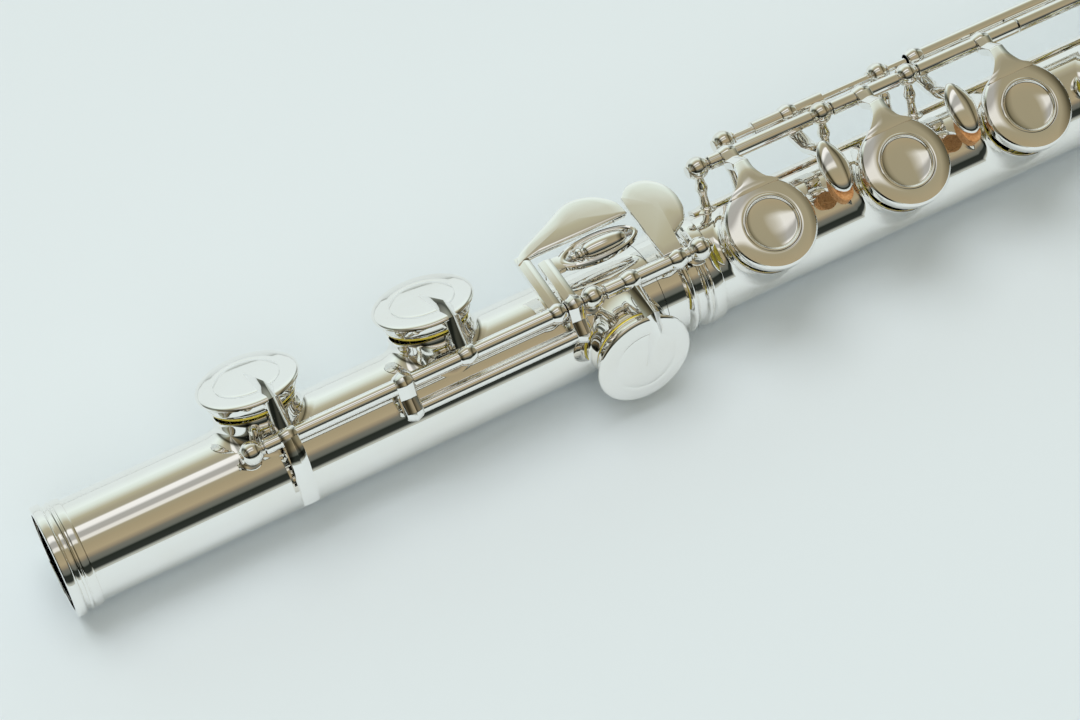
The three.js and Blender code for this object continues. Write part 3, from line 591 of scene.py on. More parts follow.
def cup_parts(key, hole, collar_x, r=None):
    x, angle = hole[0], hole[1]
    r = r or key["cup_r"]
    pivot = in_hole_frame(key["axis"], angle)
    cup = disc_cup(r) if key["cup"] == "disc" else plateau_cup(r)
    if key["arm"] == "flared":
        arm = flared_arm(collar_x, x, r, pivot)
    else:
        arm = pointed_arm(collar_x, x, r, pivot, PAD_BASE + ARM_TOP[key["cup"]])
    parts = [placed(cup, shift(x, 0, PAD_BASE)), *arm]
    opened = swing(key["axis"], -math.copysign(key.get("open", 0), pivot[0]))
    return [placed(bm, opened @ around(angle)) for bm in parts]


def pad_part(key, name):
    x, angle, _ = HOLES[name]
    pivot = in_hole_frame(key["axis"], angle)
    r = key["cup_r"] - PAD_INSET[key["cup"]]
    opened = swing(key["axis"], -math.copysign(key.get("open", 0), pivot[0]))
    return placed(pad_shape(r), opened @ around(angle) @ shift(x, 0, PAD_BASE))


def make_key(name, key):
    axis = key["axis"]
    parts = []
    for hole, x in zip(key["holes"], key["collars"]):
        parts += cup_parts(key, HOLES[hole], x)
        parts.append(collar(x, axis))
    parts += [rod(x0, x1, HINGE_R, axis) for x0, x1 in key["tubes"]]
    parts += key.get("extras", [])
    show(f"{name}_key", joined(parts), silver_keys, 30)
    for hole in key["holes"]:
        show(f"{hole}_pad", pad_part(key, hole), pad_skin, 40)


# ---- rods, posts and ribs -------------------------------------------------------------------
FOOT_ROD = (0.72, 14.18)
MAIN_ROD = (15.7, 11.0)
G_ROD = (12.9, 14.2)
TRILL_ROD = (18.9, 8.1)
GSHARP_ROD = point_around(17.2, 143)
THUMB_ROD = point_around(17.2, 84.5)
BYPASS_ROD = (-4.2, 11.9)


def post(x, axis, foot_angle, ball=2.3, seat=TUBE_R):
    """A turned pillar with a ball on top, its screw hole closed by the steel's slotted end."""
    foot = point_around(seat - 0.15, foot_angle)
    reach = math.hypot(axis[0] - foot[0], axis[1] - foot[1])
    turned = [(0, 0), (2.1, 0), (2.2, 0.3), (2.1, 0.55), (1.8, 0.7), (1.35, 0.85), (1.0, 1.25),
              (0.88, reach * 0.36), (0.98, reach * 0.44), (1.22, reach * 0.5), (1.3, reach * 0.55),
              (1.22, reach * 0.6), (0.98, reach * 0.66), (0.88, reach * 0.74), (0.95, reach),
              (0, reach)]
    lean = math.atan2(axis[0] - foot[0], axis[1] - foot[1])
    pillar = placed(lathe(turned, ROD_TURN), shift(x, *foot) @ Matrix.Rotation(-lean, 4, "X"))
    ends = [(x + side * (ball - 0.32), x + side * (ball - 0.02)) for side in (-1, 1)]
    rings = [rod(min(e), max(e), 1.28, axis, 0.1) for e in ends]
    return [pillar, sphere(ball, (x, *axis)), *rings]


def rib(x0, x1, middle, half_angle):
    """A curved strip along the tube with rounded edges."""
    inner, outer, edge = TUBE_R + 0.04, TUBE_R + 0.8, 0.25
    steps = 8
    lean = math.degrees(edge / outer)

    def section(shrink):
        low = [point_around(inner, middle - half_angle + 2 * half_angle * i / steps)
               for i in range(steps + 1)]
        reach = half_angle - shrink * lean
        high = [point_around(outer - (0.12 if i in (0, steps) else 0),
                             middle + reach - 2 * reach * i / steps) for i in range(steps + 1)]
        return low + high
    rings = [[(x, y, z) for y, z in section(s)] for x, s in
             ((x0, 1.2), (x0 + 0.25, 0.6), (x1 - 0.25, 0.6), (x1, 1.2))]
    return loft(rings, 0.14, 30)


def slotted_steel(x0, x1, axis):
    """A steel with a screwdriver slot across each end."""
    made = as_object("steel", rod(x0, x1, STEEL_R, axis, 0.1))
    for x in (x0, x1):
        slot = lathe([(0, -0.35), (1, -0.35), (1, 0.35), (0, 0.35)], 4)
        slot.transform(shift(x, *axis) @ Matrix.Rotation(0.6, 4, "X") @ Matrix.Diagonal((1, 2, 0.35, 1)))
        boolean(made, slot, "DIFFERENCE")
    return made


def capsule_link(x, half, start, start_r, end, end_r):
    """A waisted strap between two parallel rods, ridged round its middle."""
    (y0, z0), (y1, z1) = start, end
    heading = math.atan2(z1 - z0, y1 - y0)
    span = math.hypot(y1 - y0, z1 - z0)
    waist = min(start_r, end_r) * 0.72

    def outline(grow):
        made = []
        for side in (-1, 1):
            centre, radius = ((0, start_r) if side < 0 else (span, end_r))
            for k in range(9):
                a = math.pi / 2 + math.pi * k / 8 if side < 0 else -math.pi / 2 + math.pi * k / 8
                made.append((centre + (radius + grow) * math.cos(a), (radius + grow) * math.sin(a)))
            made.append((span * 0.5, side * (waist + grow)))
        return [(along * math.cos(heading) - across * math.sin(heading) + y0,
                 along * math.sin(heading) + across * math.cos(heading) + z0)
                for along, across in made]
    rings = [[(x + dx, y, z) for y, z in outline(grow)] for dx, grow in
             ((-half, -0.75), (-half * 0.8, -0.45), (0, 0.1), (half * 0.8, -0.45), (half, -0.75))]
    return loft(rings, 0.07, 20)


def spring(x0, x1, axis):
    """A needle spring from its post to the catch on the key's tube."""
    length = x1 - x0
    points = spline([(x0, axis[0], axis[1] - 1.0), (x0 + length * 0.5, axis[0] - 0.3,
                     axis[1] - 2.0), (x1, axis[0] - 0.1, axis[1] - 2.0)], 6)
    rings = []
    for i, (x, y, z) in enumerate(points):
        radius = 0.22 * (1 - 0.6 * i / (len(points) - 1))
        rings.append([(x, y + radius * math.cos(math.pi * k / 4), z + radius * math.sin(math.pi * k / 4))
                      for k in range(8)])
    return loft(rings)


# ---- foot joint -----------------------------------------------------------------------------
FOOT_OPEN = 8
TOUCH_SLOPE = 25.5
TOUCH_TOP = 1.9
ROLLER_AXIS = (9.6, 0.6)
ON_SLOPE = shift(0, *FOOT_ROD) @ Matrix.Rotation(math.radians(-TOUCH_SLOPE), 4, "X")

at_tube = [(lambda x: TUBE_R, 1), (lambda x: BORE_R, -1)]
show("foot_tube", drilled_tube([(1.0, TUBE_R), (122.9, TUBE_R)], FOOT_HOLES), silver_tube,
     35, at_tube)

end_ring = [(BORE_R, 0.12), (BORE_R + 0.12, 0), (RING_R - 0.35, 0), (RING_R - 0.12, 0.1),
            (RING_R, 0.35), (RING_R, 1.5), (RING_R - 0.06, 1.75), (RING_R - 0.25, 1.95),
            (RING_R - 0.6, 2.1), (RING_R - 0.72, 2.4), (RING_R - 0.66, 2.8), (RING_R - 0.42, 3.0),
            (RING_R - 0.35, 3.2), (RING_R - 0.42, 3.4), (RING_R - 0.6, 3.5), (RING_R - 0.62, 3.7),
            (RING_R - 0.5, 3.85), (RING_R - 0.46, 4.2), (RING_R - 0.46, 5.1),
            (RING_R - 0.56, 5.35), (TUBE_R + 0.12, 5.5), (TUBE_R - 0.05, 5.5),
            (TUBE_R - 0.05, 0.9), (BORE_R, 0.9)]
show("foot_end_ring", placed(lathe(end_ring, FINE_TURN, closed=True), Z_TO_X), silver_tube,
     38)


def beads(spans, low, high, steps=7):
    """Half-round beads along a tube, each given by its two ends."""
    made = []
    for x0, x1 in spans:
        made += [(x0 + (x1 - x0) * k / steps, low + (high - low) * math.sin(math.pi * k / steps))
                 for k in range(steps + 1)]
    return made


receiver = [(123.0, 9.97), (127.3, 9.97), (127.5, 10.2)]
receiver += beads([(127.55, 129.35)], 10.25, RING_R)
receiver += [(129.45, 10.2), (129.6, 10.08), (130.9, 10.08), (131.05, 10.2)]
receiver += beads([(131.1, 132.3)], 10.25, RING_R - 0.1)
receiver += [(132.4, 10.35), (132.6, 10.6), (132.9, RING_R - 0.05), (134.9, RING_R - 0.02),
             (135.2, RING_R - 0.15), (135.4, RING_R - 0.5)]
show("foot_receiver", along_x(receiver, FINE_TURN, 9.77), silver_tube, 35)

for number, (x, seat) in enumerate(((38.9, TUBE_R), (108.8, TUBE_R), (131.9, 10.6)), 1):
    show(f"foot_post_{number}", joined(post(x, FOOT_ROD, 2.9, seat=seat)), silver_posts,
         35)
show("foot_steel", slotted_steel(37.2, 133.6, FOOT_ROD), steel)


def lever(x, reach):
    """A ridged lever from the foot rod, in the plane of the touches."""
    top, half = TOUCH_TOP - 0.35, 1.3
    return bar([(x, -0.3, top, half, 1.7, 0.3), (x, reach, top, half, 1.4, 0.3)], 0.1)


def cradle():
    """The boat-shaped frame round the roller."""
    count = 64
    outer = oval(115.2, ROLLER_AXIS[0], 8.6, 3.3, count)
    inner = oval(115.6, ROLLER_AXIS[0], 7.0, 2.35, count)

    def ring(share, z):
        return [(a[0] + (b[0] - a[0]) * share, a[1] + (b[1] - a[1]) * share, z)
                for a, b in zip(outer, inner)]
    low, high = -0.15, 1.35
    loops = [ring(0.0, low + 0.3), ring(0.0, high - 0.3), ring(0.2, high - 0.05),
             ring(0.5, high + 0.05), ring(0.8, high - 0.05), ring(1.0, high - 0.3),
             ring(1.0, low + 0.3), ring(0.75, low), ring(0.25, low)]
    verts = [v for loop in loops for v in loop]
    faces = []
    for r in range(len(loops)):
        a, b = r * count, ((r + 1) % len(loops)) * count
        faces += [[a + i, a + (i + 1) % count, b + (i + 1) % count, b + i] for i in range(count)]
    return [part(verts, faces),
            bar([(105.4, 8.0, 1.3, 2.2, 1.4, 0.15), (105.4, 11.2, 1.3, 2.2, 1.4, 0.15)], 0.15)]


def roller():
    """A turned roller: neck, bead and a long barrel with rounded ends."""
    barrel = [(112.2, 1.15), (112.35, 1.35), (112.8, 1.62), (113.6, 1.82), (114.8, 1.93),
              (116.2, 1.95), (117.6, 1.9), (118.9, 1.76), (119.9, 1.55), (120.7, 1.25),
              (121.15, 0.95), (121.3, 0.72)]
    bead = [(109.4, 0.8), (109.6, 0.95), (109.9, 0.9), (110.3, 0.85), (110.5, 1.0), (110.75, 1.35),
            (111.15, 1.56), (111.55, 1.5), (111.9, 1.25), (112.05, 1.1)]
    return along_x(bead + barrel, 48, 0.55, ROLLER_AXIS)


paddle = [(99.9, 12.6), (101.2, 13.1), (104, 13.3), (123.4, 13.3)]
paddle += spline([(123.9, 13.6), (123.2, 17.2), (119.6, 20.6), (114.6, 21.4), (108.6, 18.6),
                   (102.4, 15.6), (100.3, 13.9)], 7)
dsharp_plate = [(124.4, 0.4), (128.3, 0.4)]
dsharp_plate += spline([(128.5, 1.6), (128.9, 4.2), (132.7, 7.0), (134.3, 11.5), (133.6, 15.8),
                         (130.9, 18.9), (127.2, 19.4), (124.5, 17.2)], 6)
dsharp_plate += [(124.4, 15.0), (124.4, 8.0), (124.4, 4.0)]

LOW_C_X, LOW_CSHARP_X, DSHARP_X = 46.0, 82.3, 116.7
BYPASS_START, BYPASS_END = 69.3, 104.6
FOOT_KEY = {"axis": FOOT_ROD, "cup": "disc", "cup_r": 9.85, "arm": "pointed"}
low_c_stop = bar([(LOW_C_X, 0, 16.0, 1.5, 1.6, 0.7), (LOW_C_X, -2.9, 15.5, 1.6, 1.5, 0.6),
                  (LOW_C_X, -5.2, 14.0, 1.6, 1.3, 0.5), (LOW_C_X, -9.0, 9.9, 1.6, 1.1, 0.2),
                  (LOW_C_X, -10.9, 6.2, 1.6, 1.0, 0.1)], 0.06)

make_key("c", {
    **FOOT_KEY, "holes": ["c"], "collars": [LOW_C_X], "open": FOOT_OPEN,
    "tubes": [(41.4, 70.8), (103.1, 106.3)],
    "extras": [low_c_stop, capsule_link(69.2, 1.7, FOOT_ROD, 2.3, BYPASS_ROD, 2.0),
               capsule_link(104.7, 1.6, FOOT_ROD, 2.3, BYPASS_ROD, 2.0),
               rod(BYPASS_START, BYPASS_END, 1.2, BYPASS_ROD),
               *[placed(bm, ON_SLOPE) for bm in [*cradle(), lever(BYPASS_END, 11.2)]]],
})
make_key("csharp", {
    **FOOT_KEY, "holes": ["csharp"], "collars": [LOW_CSHARP_X], "open": FOOT_OPEN, "tubes": [(71.0, 102.9)],
    "extras": [collar(101.2, FOOT_ROD, 1.5), placed(lever(101.2, 14.4), ON_SLOPE),
               placed(slab(paddle, TOUCH_TOP - 1.3, TOUCH_TOP, 0.35, 0.25), ON_SLOPE)],
})
make_key("dsharp", {
    **FOOT_KEY, "holes": ["dsharp"], "collars": [DSHARP_X], "tubes": [(111.3, 129.4)],
    "extras": [collar(126.9, FOOT_ROD),
               placed(slab(dsharp_plate, TOUCH_TOP - 1.3, TOUCH_TOP, 0.4, 0.35), ON_SLOPE)],
})
show("c_roller", placed(roller(), ON_SLOPE), silver_keys, 45)
show("roller_axle", placed(rod(107.2, 123.4, 0.5, ROLLER_AXIS, 0.06), ON_SLOPE), steel)

# ---- body joint -----------------------------------------------------------------------------
BODY_END = 441
TENON_R = 9.68
TENON_START, TENON_END = 123.1, 135.6
body_profile = [(TENON_START, TENON_R), (TENON_END, TENON_R), (TENON_END, TUBE_R), (BODY_END, TUBE_R)]
body_holes = [name for name in HOLES if name not in FOOT_HOLES]
show("body_tube", drilled_tube(body_profile, body_holes), silver_tube,
     35, [*at_tube, (lambda x: TENON_R, 1)])
barrel = beads([(437, 438.1)], 10.35, RING_R - 0.25) + beads([(438.2, 439.6)], 10.45, RING_R)
barrel += [(439.8, 10.4), (440.4, 10.45), (445, 10.5), (478, 10.5), (482.2, 10.5)]
barrel += beads([(482.3, 483.4)], 10.5, RING_R - 0.1)
barrel += [(483.6, 10.6), (483.9, RING_R), (485.6, RING_R), (485.9, RING_R - 0.2), (486, RING_R - 0.5)]
show("barrel", along_x(barrel, FINE_TURN, TUBE_R + 0.02), silver_tube, 35)

MAIN_FOOT, TRILL_FOOT, THUMB_FOOT, G_FOOT = 62, 71, 72, 60
lower = [rib(137.2, 247.3, 66, 9)]
for x in (140.2, 168, 188, 242):
    lower += post(x, MAIN_ROD, MAIN_FOOT)
for x in (148.6, 184):
    lower += post(x, TRILL_ROD, TRILL_FOOT)
lower += post(245.2, G_ROD, G_FOOT)
show("lower_rib", joined(lower), silver_posts, 35)
upper = [rib(266.5, 415, 66, 9), *post(289, G_ROD, G_FOOT)]
for x in (292.6, 379):
    upper += post(x, MAIN_ROD, MAIN_FOOT)
for x in (394.2, 412):
    upper += post(x, TRILL_ROD, TRILL_FOOT)
for x in (309, 358.4):
    upper += post(x, THUMB_ROD, THUMB_FOOT, 2.0)
show("upper_rib", joined(upper), silver_posts, 35)
show("gsharp_rib", joined([rib(240.5, 293, 169, 7), *post(243.5, GSHARP_ROD, 167, 2.0),
                           *post(290, GSHARP_ROD, 167, 2.0)]), silver_posts, 35)
for node, x0, x1, axis in (("right_hand_steel", 138.4, 213.9, MAIN_ROD),
                           ("left_hand_steel", 294.6, 380.8, MAIN_ROD),
                           ("g_steel", 243.4, 290.8, G_ROD),
                           ("gsharp_steel", 242, 291.5, GSHARP_ROD),
                           ("thumb_steel", 307.5, 360, THUMB_ROD)):
    show(node, slotted_steel(x0, x1, axis), steel)

RIGHT_CUP_R, LEFT_CUP_R = 9.05, 8.45
MAIN = {"axis": MAIN_ROD, "cup": "plateau", "arm": "flared", "open": 6.5}
for name, collar_x, tube in (("d", 146.8, (142.6, 165.6)), ("e", 177.4, (170.4, 185.6)),
                             ("f", 205.4, (190.4, 213.9))):
    make_key(name, {**MAIN, "holes": [name], "cup_r": RIGHT_CUP_R, "collars": [collar_x],
                    "tubes": [tube]})
make_key("fsharp", {**MAIN, "holes": ["fsharp"], "cup_r": 8.75, "collars": [231.6],
                    "tubes": [(214.2, 239.6), (244.4, 290.2)],
                    "extras": [rod(239, 294.2, STEEL_R, MAIN_ROD)]})
make_key("g", {**MAIN, "axis": G_ROD, "holes": ["g_lower", "g_upper"], "cup_r": 8.55,
               "collars": [256.6, 280.6], "tubes": [(247.6, 286.6)]})
for name, collar_x, tube in (("a", 303, (295, 312)), ("bflat", 324, (312.3, 335.6))):
    make_key(name, {**MAIN, "holes": [name], "cup_r": LEFT_CUP_R, "collars": [collar_x],
                    "tubes": [tube]})
FINGER_X = 345.6
VENT = {**MAIN, "holes": ["csharp_vent"], "cup_r": 5.0, "collars": [370], "tubes": [(336, 376.5)]}
make_key("csharp_vent", {**VENT, "extras": [
    *cup_parts(VENT, (FINGER_X, MAIN_AROUND), FINGER_X + 0.5, LEFT_CUP_R),
    collar(FINGER_X + 0.5, MAIN_ROD)]})


def trill_touch(x):
    """A lever under the main rod that rises to a pointed oval touch between two cups."""
    run = bar([(x, TRILL_ROD[0], TRILL_ROD[1] - 0.3, 1.5, 1.4, 0.2), (x, 14.6, 7.6, 1.5, 1.3, 0.2),
               (x, 11.2, 10.2, 1.5, 1.2, 0.2), (x, 8.2, 15.6, 1.6, 1.3, 0.2),
               (x, 4.0, 16.8, 1.6, 1.1, 0.2)], 0.1)
    count = 56
    rings = []
    profile = [(0.6, 16.0), (0.93, 16.02), (0.98, 16.1)]
    profile += [(math.cos(math.radians(a)), 16.3 + 1.55 * math.sin(math.radians(a)))
                for a in range(0, 89, 8)]
    for share, height in profile:
        ring = []
        for i in range(count):
            turn = 2 * math.pi * i / count
            c, s = math.cos(turn), math.sin(turn)
            narrow = 1 - 0.28 * max(0.0, c) ** 2
            ring.append((x + 2.95 * share * s * narrow, 4.1 + 5.6 * share * c, height))
        rings.append(ring)
    return [run, loft(rings)]


def trill_cork(x):
    """The oval bumper under a touch."""
    return slab(oval(x - 0.25, 0.2, 2.0, 3.3, 40), 13.4, 15.97, 0.15)


D_TOUCH_X, DSHARP_TOUCH_X = 192.3, 163
TRILL = {"axis": TRILL_ROD, "cup": "plateau", "cup_r": 5.4, "arm": "pointed"}
make_key("d_trill", {**TRILL, "holes": ["d_trill"], "collars": [388], "tubes": [(190.8, 391.4)],
                     "extras": [collar(192.5, TRILL_ROD), *trill_touch(D_TOUCH_X)]})
make_key("dsharp_trill", {**TRILL, "holes": ["dsharp_trill"], "collars": [405],
                          "tubes": [(155, 171), (397, 409.4)],
                          "extras": [rod(147, 413.6, STEEL_R, TRILL_ROD),
                                     collar(DSHARP_TOUCH_X, TRILL_ROD),
                                     *trill_touch(DSHARP_TOUCH_X)]})
show("d_trill_cork", trill_cork(D_TOUCH_X), cork)
show("dsharp_trill_cork", trill_cork(DSHARP_TOUCH_X), cork)

gsharp_lever = bar([(270, *GSHARP_ROD, 1.5, 1.4, 0.2), (270, 17.6, -10.4, 1.5, 1.5, 0.2),
                    (270, 23.0, -4.0, 1.5, 1.5, 0.2), (270, 25.6, 2.4, 1.6, 1.4, 0.2),
                    (270, 26.4, 6.4, 2.6, 1.2, 0.2)], 0.12, smooth=5)
spoon = placed(slab(oval(0, 0, 9.5, 3.6), 0, 1.3, 0.4, 0.3),
               shift(272, 25.4, 7.2) @ Matrix.Rotation(-1.0, 4, "X"))
make_key("gsharp", {"holes": ["gsharp"], "axis": GSHARP_ROD, "cup": "disc", "cup_r": 9.3,
                    "arm": "pointed", "collars": [256], "tubes": [(245.9, 287.6)],
                    "extras": [collar(270, GSHARP_ROD), gsharp_lever, spoon]})


def thumb_touch(x, half_length):
    """A plate that curves over the tube's underside."""
    stations = spline([(86, 17.8, 1.6), (97, 17.55, 0.55 * half_length), (108, 17.3, half_length),
                       (119, 17.05, half_length), (130, 16.8, 0.6 * half_length)], 6)
    rings = []
    for angle, radius, half in stations:
        outer, inner = point_around(radius, angle), point_around(radius - 1.2, angle)
        rings.append([(x - half, *inner), (x + half, *inner), (x + half, *outer), (x - half, *outer)])
    return loft(rings, 0.3, 30, 3)


make_key("thumb_b", {"holes": ["thumb_b"], "axis": THUMB_ROD, "cup": "disc", "cup_r": 8.5,
                     "arm": "pointed", "collars": [343], "open": 9, "tubes": [(321.3, 355.9)],
                     "extras": [collar(326, THUMB_ROD), thumb_touch(326, 6.2)]})
show("thumb_bflat_lever", joined([rod(311.4, 321, HINGE_R, THUMB_ROD), collar(314.5, THUMB_ROD),
                                  thumb_touch(314.5, 4.2)]), silver_keys, 30)

# ---- head joint -----------------------------------------------------------------------------
HEAD_START, HEAD_TAPER, CROWN_START, EMBOUCHURE_X = 448, 500, 655.5, 604
HEAD_R, HEAD_TIP_R, HEAD_WALL = 9.9, 8.95, 0.42
LIP_R, LIP_CENTRE_Z = 19.2, -4.0


def head_r(x):
    share = max(0.0, (x - HEAD_TAPER) / (CROWN_START - HEAD_TAPER))
    return HEAD_R + (HEAD_TIP_R - HEAD_R) * share


def upright(outline, low, high):
    """A straight-sided column over a plan outline."""
    return loft([[(u, v, low) for u, v in outline], [(u, v, high) for u, v in outline]])


def blow_hole():
    return upright(oval(EMBOUCHURE_X, 0, 6.1, 5.2, 72), 1, 30)


stations = (HEAD_START, HEAD_TAPER, 530, 560, 590, 620, CROWN_START)
head = as_object("head", along_x([(x, head_r(x)) for x in stations], FINE_TURN))
boolean(head, along_x([(x + grow, head_r(x) - HEAD_WALL) for x, grow in
                       zip(stations, (-1, 0, 0, 0, 0, 0, 1))], FINE_TURN), "DIFFERENCE")
boolean(head, blow_hole(), "DIFFERENCE")
show("head_tube", head, silver_tube, 35,
     [(head_r, 1), (lambda x: head_r(x) - HEAD_WALL, -1)])


def lip_plate():
    """A thin oval plate bent over the head, with a rolled edge round its outline."""
    count, rows = 120, 14

    def at(share, turn, lift):
        u = 24 * share * math.cos(turn)
        v = 13.8 * share * math.sin(turn)
        angle = math.asin(v / LIP_R)
        r = LIP_R + lift
        return (EMBOUCHURE_X + u, r * math.sin(angle), LIP_CENTRE_Z + r * math.cos(angle))
    shares = [0.45 + 0.55 * k / rows for k in range(rows + 1)]
    top = [(s, 0.0) for s in shares[:-1]]
    edge = [(0.985, 0.0), (0.997, -0.12), (1.0, -0.4), (1.0, -0.75), (0.99, -0.97)]
    under = [(s, -1.0) for s in reversed(shares[:-1])]
    path = [(0.2, 0.0)] + top + edge + under + [(0.2, -1.0)]
    return loft([[at(s, 2 * math.pi * i / count, lift) for i in range(count)] for s, lift in path])


plate = as_object("plate", lip_plate())
boolean(plate, blow_hole(), "DIFFERENCE")
show("lip_plate", plate, silver_tube, 40)
riser = as_object("riser", upright(oval(EMBOUCHURE_X, 0, 7.7, 6.8, 72), 2, 22))
under_lip = along_x([(580, LIP_R - 1.1), (630, LIP_R - 1.1)], FINE_TURN, axis=(0, LIP_CENTRE_Z))
boolean(riser, under_lip, "INTERSECT")
boolean(riser, along_x([(580, 9.45), (630, 9.2)], FINE_TURN), "DIFFERENCE")
boolean(riser, blow_hole(), "DIFFERENCE")
show("embouchure_riser", riser, silver_tube, 40)

STOPPER_FACE, SCREW_R, STOPPER_R = 621, 1.9, 8.58


def threaded(x0, x1, radius, pitch=0.7, depth=0.18):
    turns = int((x1 - x0) / pitch)
    made = []
    for k in range(turns):
        made += [(x0 + k * pitch, radius - depth), (x0 + (k + 0.5) * pitch, radius)]
    return made


show("cork_screw", along_x([(STOPPER_FACE, STOPPER_R - 0.35), (STOPPER_FACE + 0.15, STOPPER_R - 0.2),
                            (STOPPER_FACE + 1.2, STOPPER_R - 0.2), (STOPPER_FACE + 1.2, SCREW_R),
                            *threaded(622.4, 661.5, SCREW_R), (662, SCREW_R - 0.2)], 48),
     steel, 30)
show("head_cork", along_x([(622.4, 8.3), (622.8, 8.48), (637.6, 8.48), (638, 8.3)], 64, SCREW_R + 0.1),
     cork)
show("cork_nut", along_x([(638.2, 6.8), (638.4, 7), (639.8, 7), (640, 6.8)], 6, SCREW_R + 0.1),
     steel, 25)
crown = spline([(655.7, 9.2), (656.0, 9.65), (656.6, 9.8), (657.4, 9.75), (657.9, 9.3), (658.5, 8.95),
                (660.0, 8.72), (661.6, 8.85), (663.2, 9.3), (664.6, 9.66), (665.8, 9.62), (667.0, 9.2),
                (668.2, 8.0), (669.1, 6.2), (669.6, 4.0), (669.9, 2.0), (670.0, 0.4)], 4)
show("crown", along_x(crown), silver_tube, 50)

# ---- needle springs -------------------------------------------------------------------------
springs = {
    "foot_joint": [(38.9, 56, FOOT_ROD), (108.8, 92, FOOT_ROD), (131.9, 120, FOOT_ROD)],
    "body": [(168, 152, MAIN_ROD), (168, 182, MAIN_ROD), (188, 200, MAIN_ROD), (242, 226, MAIN_ROD),
             (289, 266, G_ROD), (292.6, 308, MAIN_ROD), (379, 362, MAIN_ROD), (379, 330, MAIN_ROD),
             (290, 268, GSHARP_ROD), (358.4, 338, THUMB_ROD), (412, 398, TRILL_ROD)],
}
for body, rows in springs.items():
    made = as_object(f"{body}_springs", joined([spring(x0, x1, axis) for x0, x1, axis in rows]))
    made.data.transform(TO_ROW)
    made.data.shade_smooth()
    made.data.materials.append(steel)
    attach(made, body)

# ---- room -----------------------------------------------------------------------------------
def floor():
    mesh = bpy.data.meshes.new("floor")
    half = 6.0
    mesh.from_pydata([(-half, -half, 0), (half, -half, 0), (half, half, 0), (-half, half, 0)], [],
                     [(0, 1, 2, 3)])
    made = bpy.data.objects.new("floor", mesh)
    bpy.context.scene.collection.objects.link(made)
    material, tree, shader = new_material("floor")
    paper = noise_node(tree, 3, 2, 0.5)
    tree.links.new(ramp(tree, paper, [(0.3, (0.745, 0.83, 0.885)), (0.7, (0.76, 0.845, 0.90))]),
                   shader.inputs["Base Color"])
    shader.inputs["Roughness"].default_value = 0.9
    shader.inputs["Specular IOR Level"].default_value = 0.1
    mesh.materials.append(material)


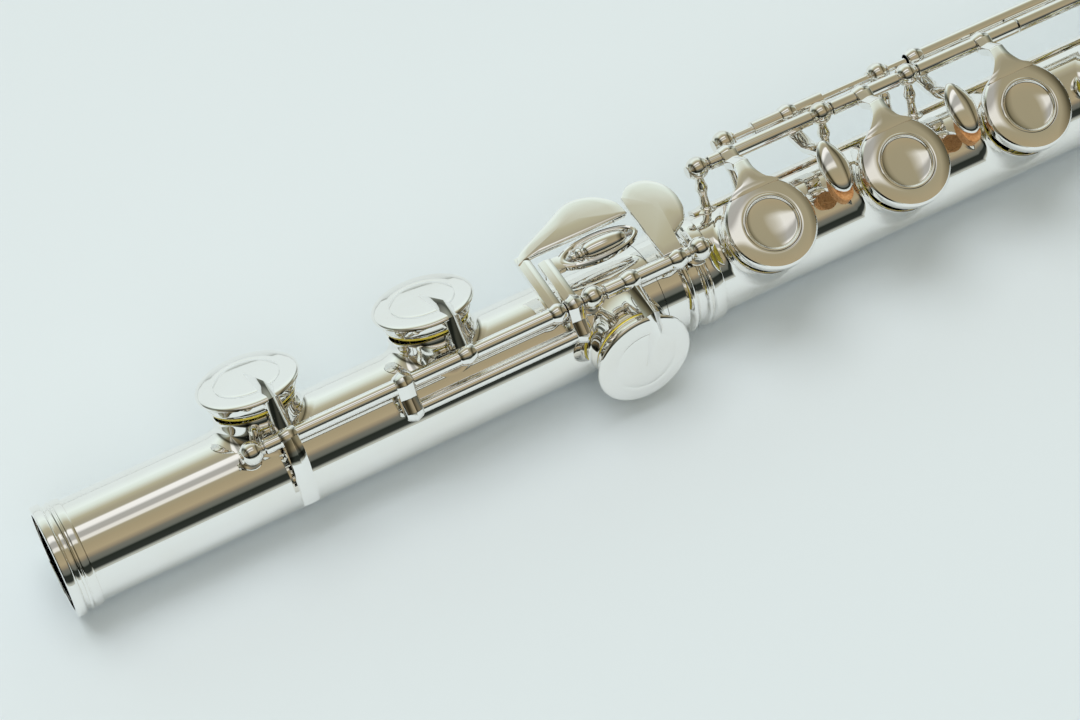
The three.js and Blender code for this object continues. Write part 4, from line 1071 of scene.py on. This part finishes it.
def room_light():
    """A pale studio seen in the polished metal. Its colour depends on the angle about the X
    direction, from pale paper behind the flute through two soft boxes to a tan room, and on how
    far the direction leans towards either end."""
    world = bpy.data.worlds.new("studio")
    bpy.context.scene.world = world
    world.use_nodes = True
    tree = world.node_tree
    background = tree.nodes["Background"]
    place = tree.nodes.new("ShaderNodeTexCoord")
    split = tree.nodes.new("ShaderNodeSeparateXYZ")
    angle = tree.nodes.new("ShaderNodeMath")
    angle.operation = "ARCTAN2"
    share = tree.nodes.new("ShaderNodeMapRange")
    share.inputs["From Min"].default_value = -math.pi
    share.inputs["From Max"].default_value = math.pi
    tree.links.new(place.outputs["Generated"], split.inputs["Vector"])
    tree.links.new(split.outputs["Y"], angle.inputs[0])
    tree.links.new(split.outputs["Z"], angle.inputs[1])
    tree.links.new(angle.outputs["Value"], share.inputs["Value"])
    stops = [
        (-92, (0.62, 0.66, 0.60)), (-87, (0.42, 0.44, 0.39)), (-82, (0.03, 0.035, 0.03)),
        (-69, (0.02, 0.025, 0.02)), (-65, (0.13, 0.14, 0.12)), (-57, (0.17, 0.17, 0.14)),
        (-53, (0.27, 0.23, 0.16)), (-45, (0.42, 0.35, 0.22)), (-30, (0.38, 0.32, 0.20)),
        (-20, (0.36, 0.32, 0.21)), (-17, (0.80, 0.79, 0.72)), (-12, (0.80, 0.79, 0.74)),
        (-9, (0.42, 0.41, 0.38)), (0, (0.42, 0.42, 0.39)), (5, (0.92, 0.92, 0.89)),
        (13, (0.95, 0.95, 0.92)), (16, (0.36, 0.34, 0.25)), (24, (0.38, 0.35, 0.25)),
        (33, (0.46, 0.44, 0.31)), (40, (0.60, 0.62, 0.52)), (47, (0.72, 0.80, 0.72)),
        (58, (0.84, 0.94, 0.90)), (75, (0.76, 0.84, 0.83)), (120, (0.74, 0.82, 0.81)),
    ]
    bands = ramp(tree, share.outputs["Result"], [((a + 180) / 360, c) for a, c in stops], "LINEAR")
    # Past the soft boxes' ends only the tan room is seen between the dark floor and the paper.
    far_stops = [stop for stop in stops if stop[0] <= -45] + [
        (-20, (0.36, 0.32, 0.21)), (16, (0.33, 0.30, 0.20)),
    ] + [stop for stop in stops if stop[0] >= 24]
    far_bands = ramp(tree, share.outputs["Result"], [((a + 180) / 360, c) for a, c in far_stops],
                     "LINEAR")
    past_boxes = tree.nodes.new("ShaderNodeMapRange")
    past_boxes.inputs["From Min"].default_value = 0.64
    past_boxes.inputs["From Max"].default_value = 0.70
    tree.links.new(end_share(tree, split.outputs["X"]), past_boxes.inputs["Value"])
    both_bands = tree.nodes.new("ShaderNodeMix")
    both_bands.data_type = "RGBA"
    tree.links.new(past_boxes.outputs["Result"], both_bands.inputs[0])
    tree.links.new(bands, both_bands.inputs[6])
    tree.links.new(far_bands, both_bands.inputs[7])
    # Towards the flute's two ends the room is dimmer, with a dark doorway low at the foot's end.
    ends = ramp(tree, end_share(tree, split.outputs["X"]), [
        (0.0, (0.55, 0.55, 0.50)), (0.10, (0.32, 0.31, 0.27)), (0.15, (0.08, 0.08, 0.07)),
        (0.20, (0.20, 0.20, 0.17)), (0.27, (0.85, 0.86, 0.84)), (0.36, (1, 1, 1)),
        (0.78, (1, 1, 1)), (0.84, (0.55, 0.54, 0.50)), (0.88, (0.16, 0.16, 0.14)),
        (0.92, (0.62, 0.62, 0.58)), (1.0, (0.85, 0.85, 0.82))], "LINEAR")
    mixed = tree.nodes.new("ShaderNodeMix")
    mixed.data_type = "RGBA"
    mixed.blend_type = "MULTIPLY"
    mixed.inputs[0].default_value = 1.0
    tree.links.new(both_bands.outputs[2], mixed.inputs[6])
    tree.links.new(ends, mixed.inputs[7])
    tree.links.new(mixed.outputs[2], background.inputs["Color"])
    background.inputs["Strength"].default_value = 1.0


def end_share(tree, along):
    """How far a direction leans towards the head end, from 0 at the foot's end to 1."""
    made = tree.nodes.new("ShaderNodeMapRange")
    made.inputs["From Min"].default_value = -1
    made.inputs["From Max"].default_value = 1
    tree.links.new(along, made.inputs["Value"])
    return made.outputs["Result"]


def soft_box(name, location, size, watts):
    """A square light turned to the foot joint, hidden from the metal, which reflects the room."""
    target = Vector((-0.2, 0, 0))
    data = bpy.data.lights.new(name, "AREA")
    data.shape = "SQUARE"
    data.size = size
    data.energy = watts
    made = bpy.data.objects.new(name, data)
    made.location = location
    made.rotation_mode = "QUATERNION"
    made.rotation_quaternion = (target - Vector(location)).to_track_quat("-Z", "Y")
    made.visible_glossy = False
    bpy.context.scene.collection.objects.link(made)


def camera():
    """The view from above the foot end, on the side away from the player."""
    data = bpy.data.cameras.new("camera")
    data.sensor_width = 36
    data.lens = 80.88
    data.clip_start, data.clip_end = 0.01, 50
    made = bpy.data.objects.new("camera", data)
    made.location = (-0.35633, -0.25626, 0.37833)
    made.rotation_euler = [math.radians(a) for a in (36.853, 2.317, -28.607)]
    bpy.context.scene.collection.objects.link(made)
    bpy.context.scene.camera = made


floor()
room_light()
soft_box("key_light", (-0.5, 0.55, 2.2), 1.7, 25)
soft_box("fill_light", (-0.6, -1.1, 1.2), 1.4, 9)
camera()
bpy.context.scene.view_settings.view_transform = "Standard"
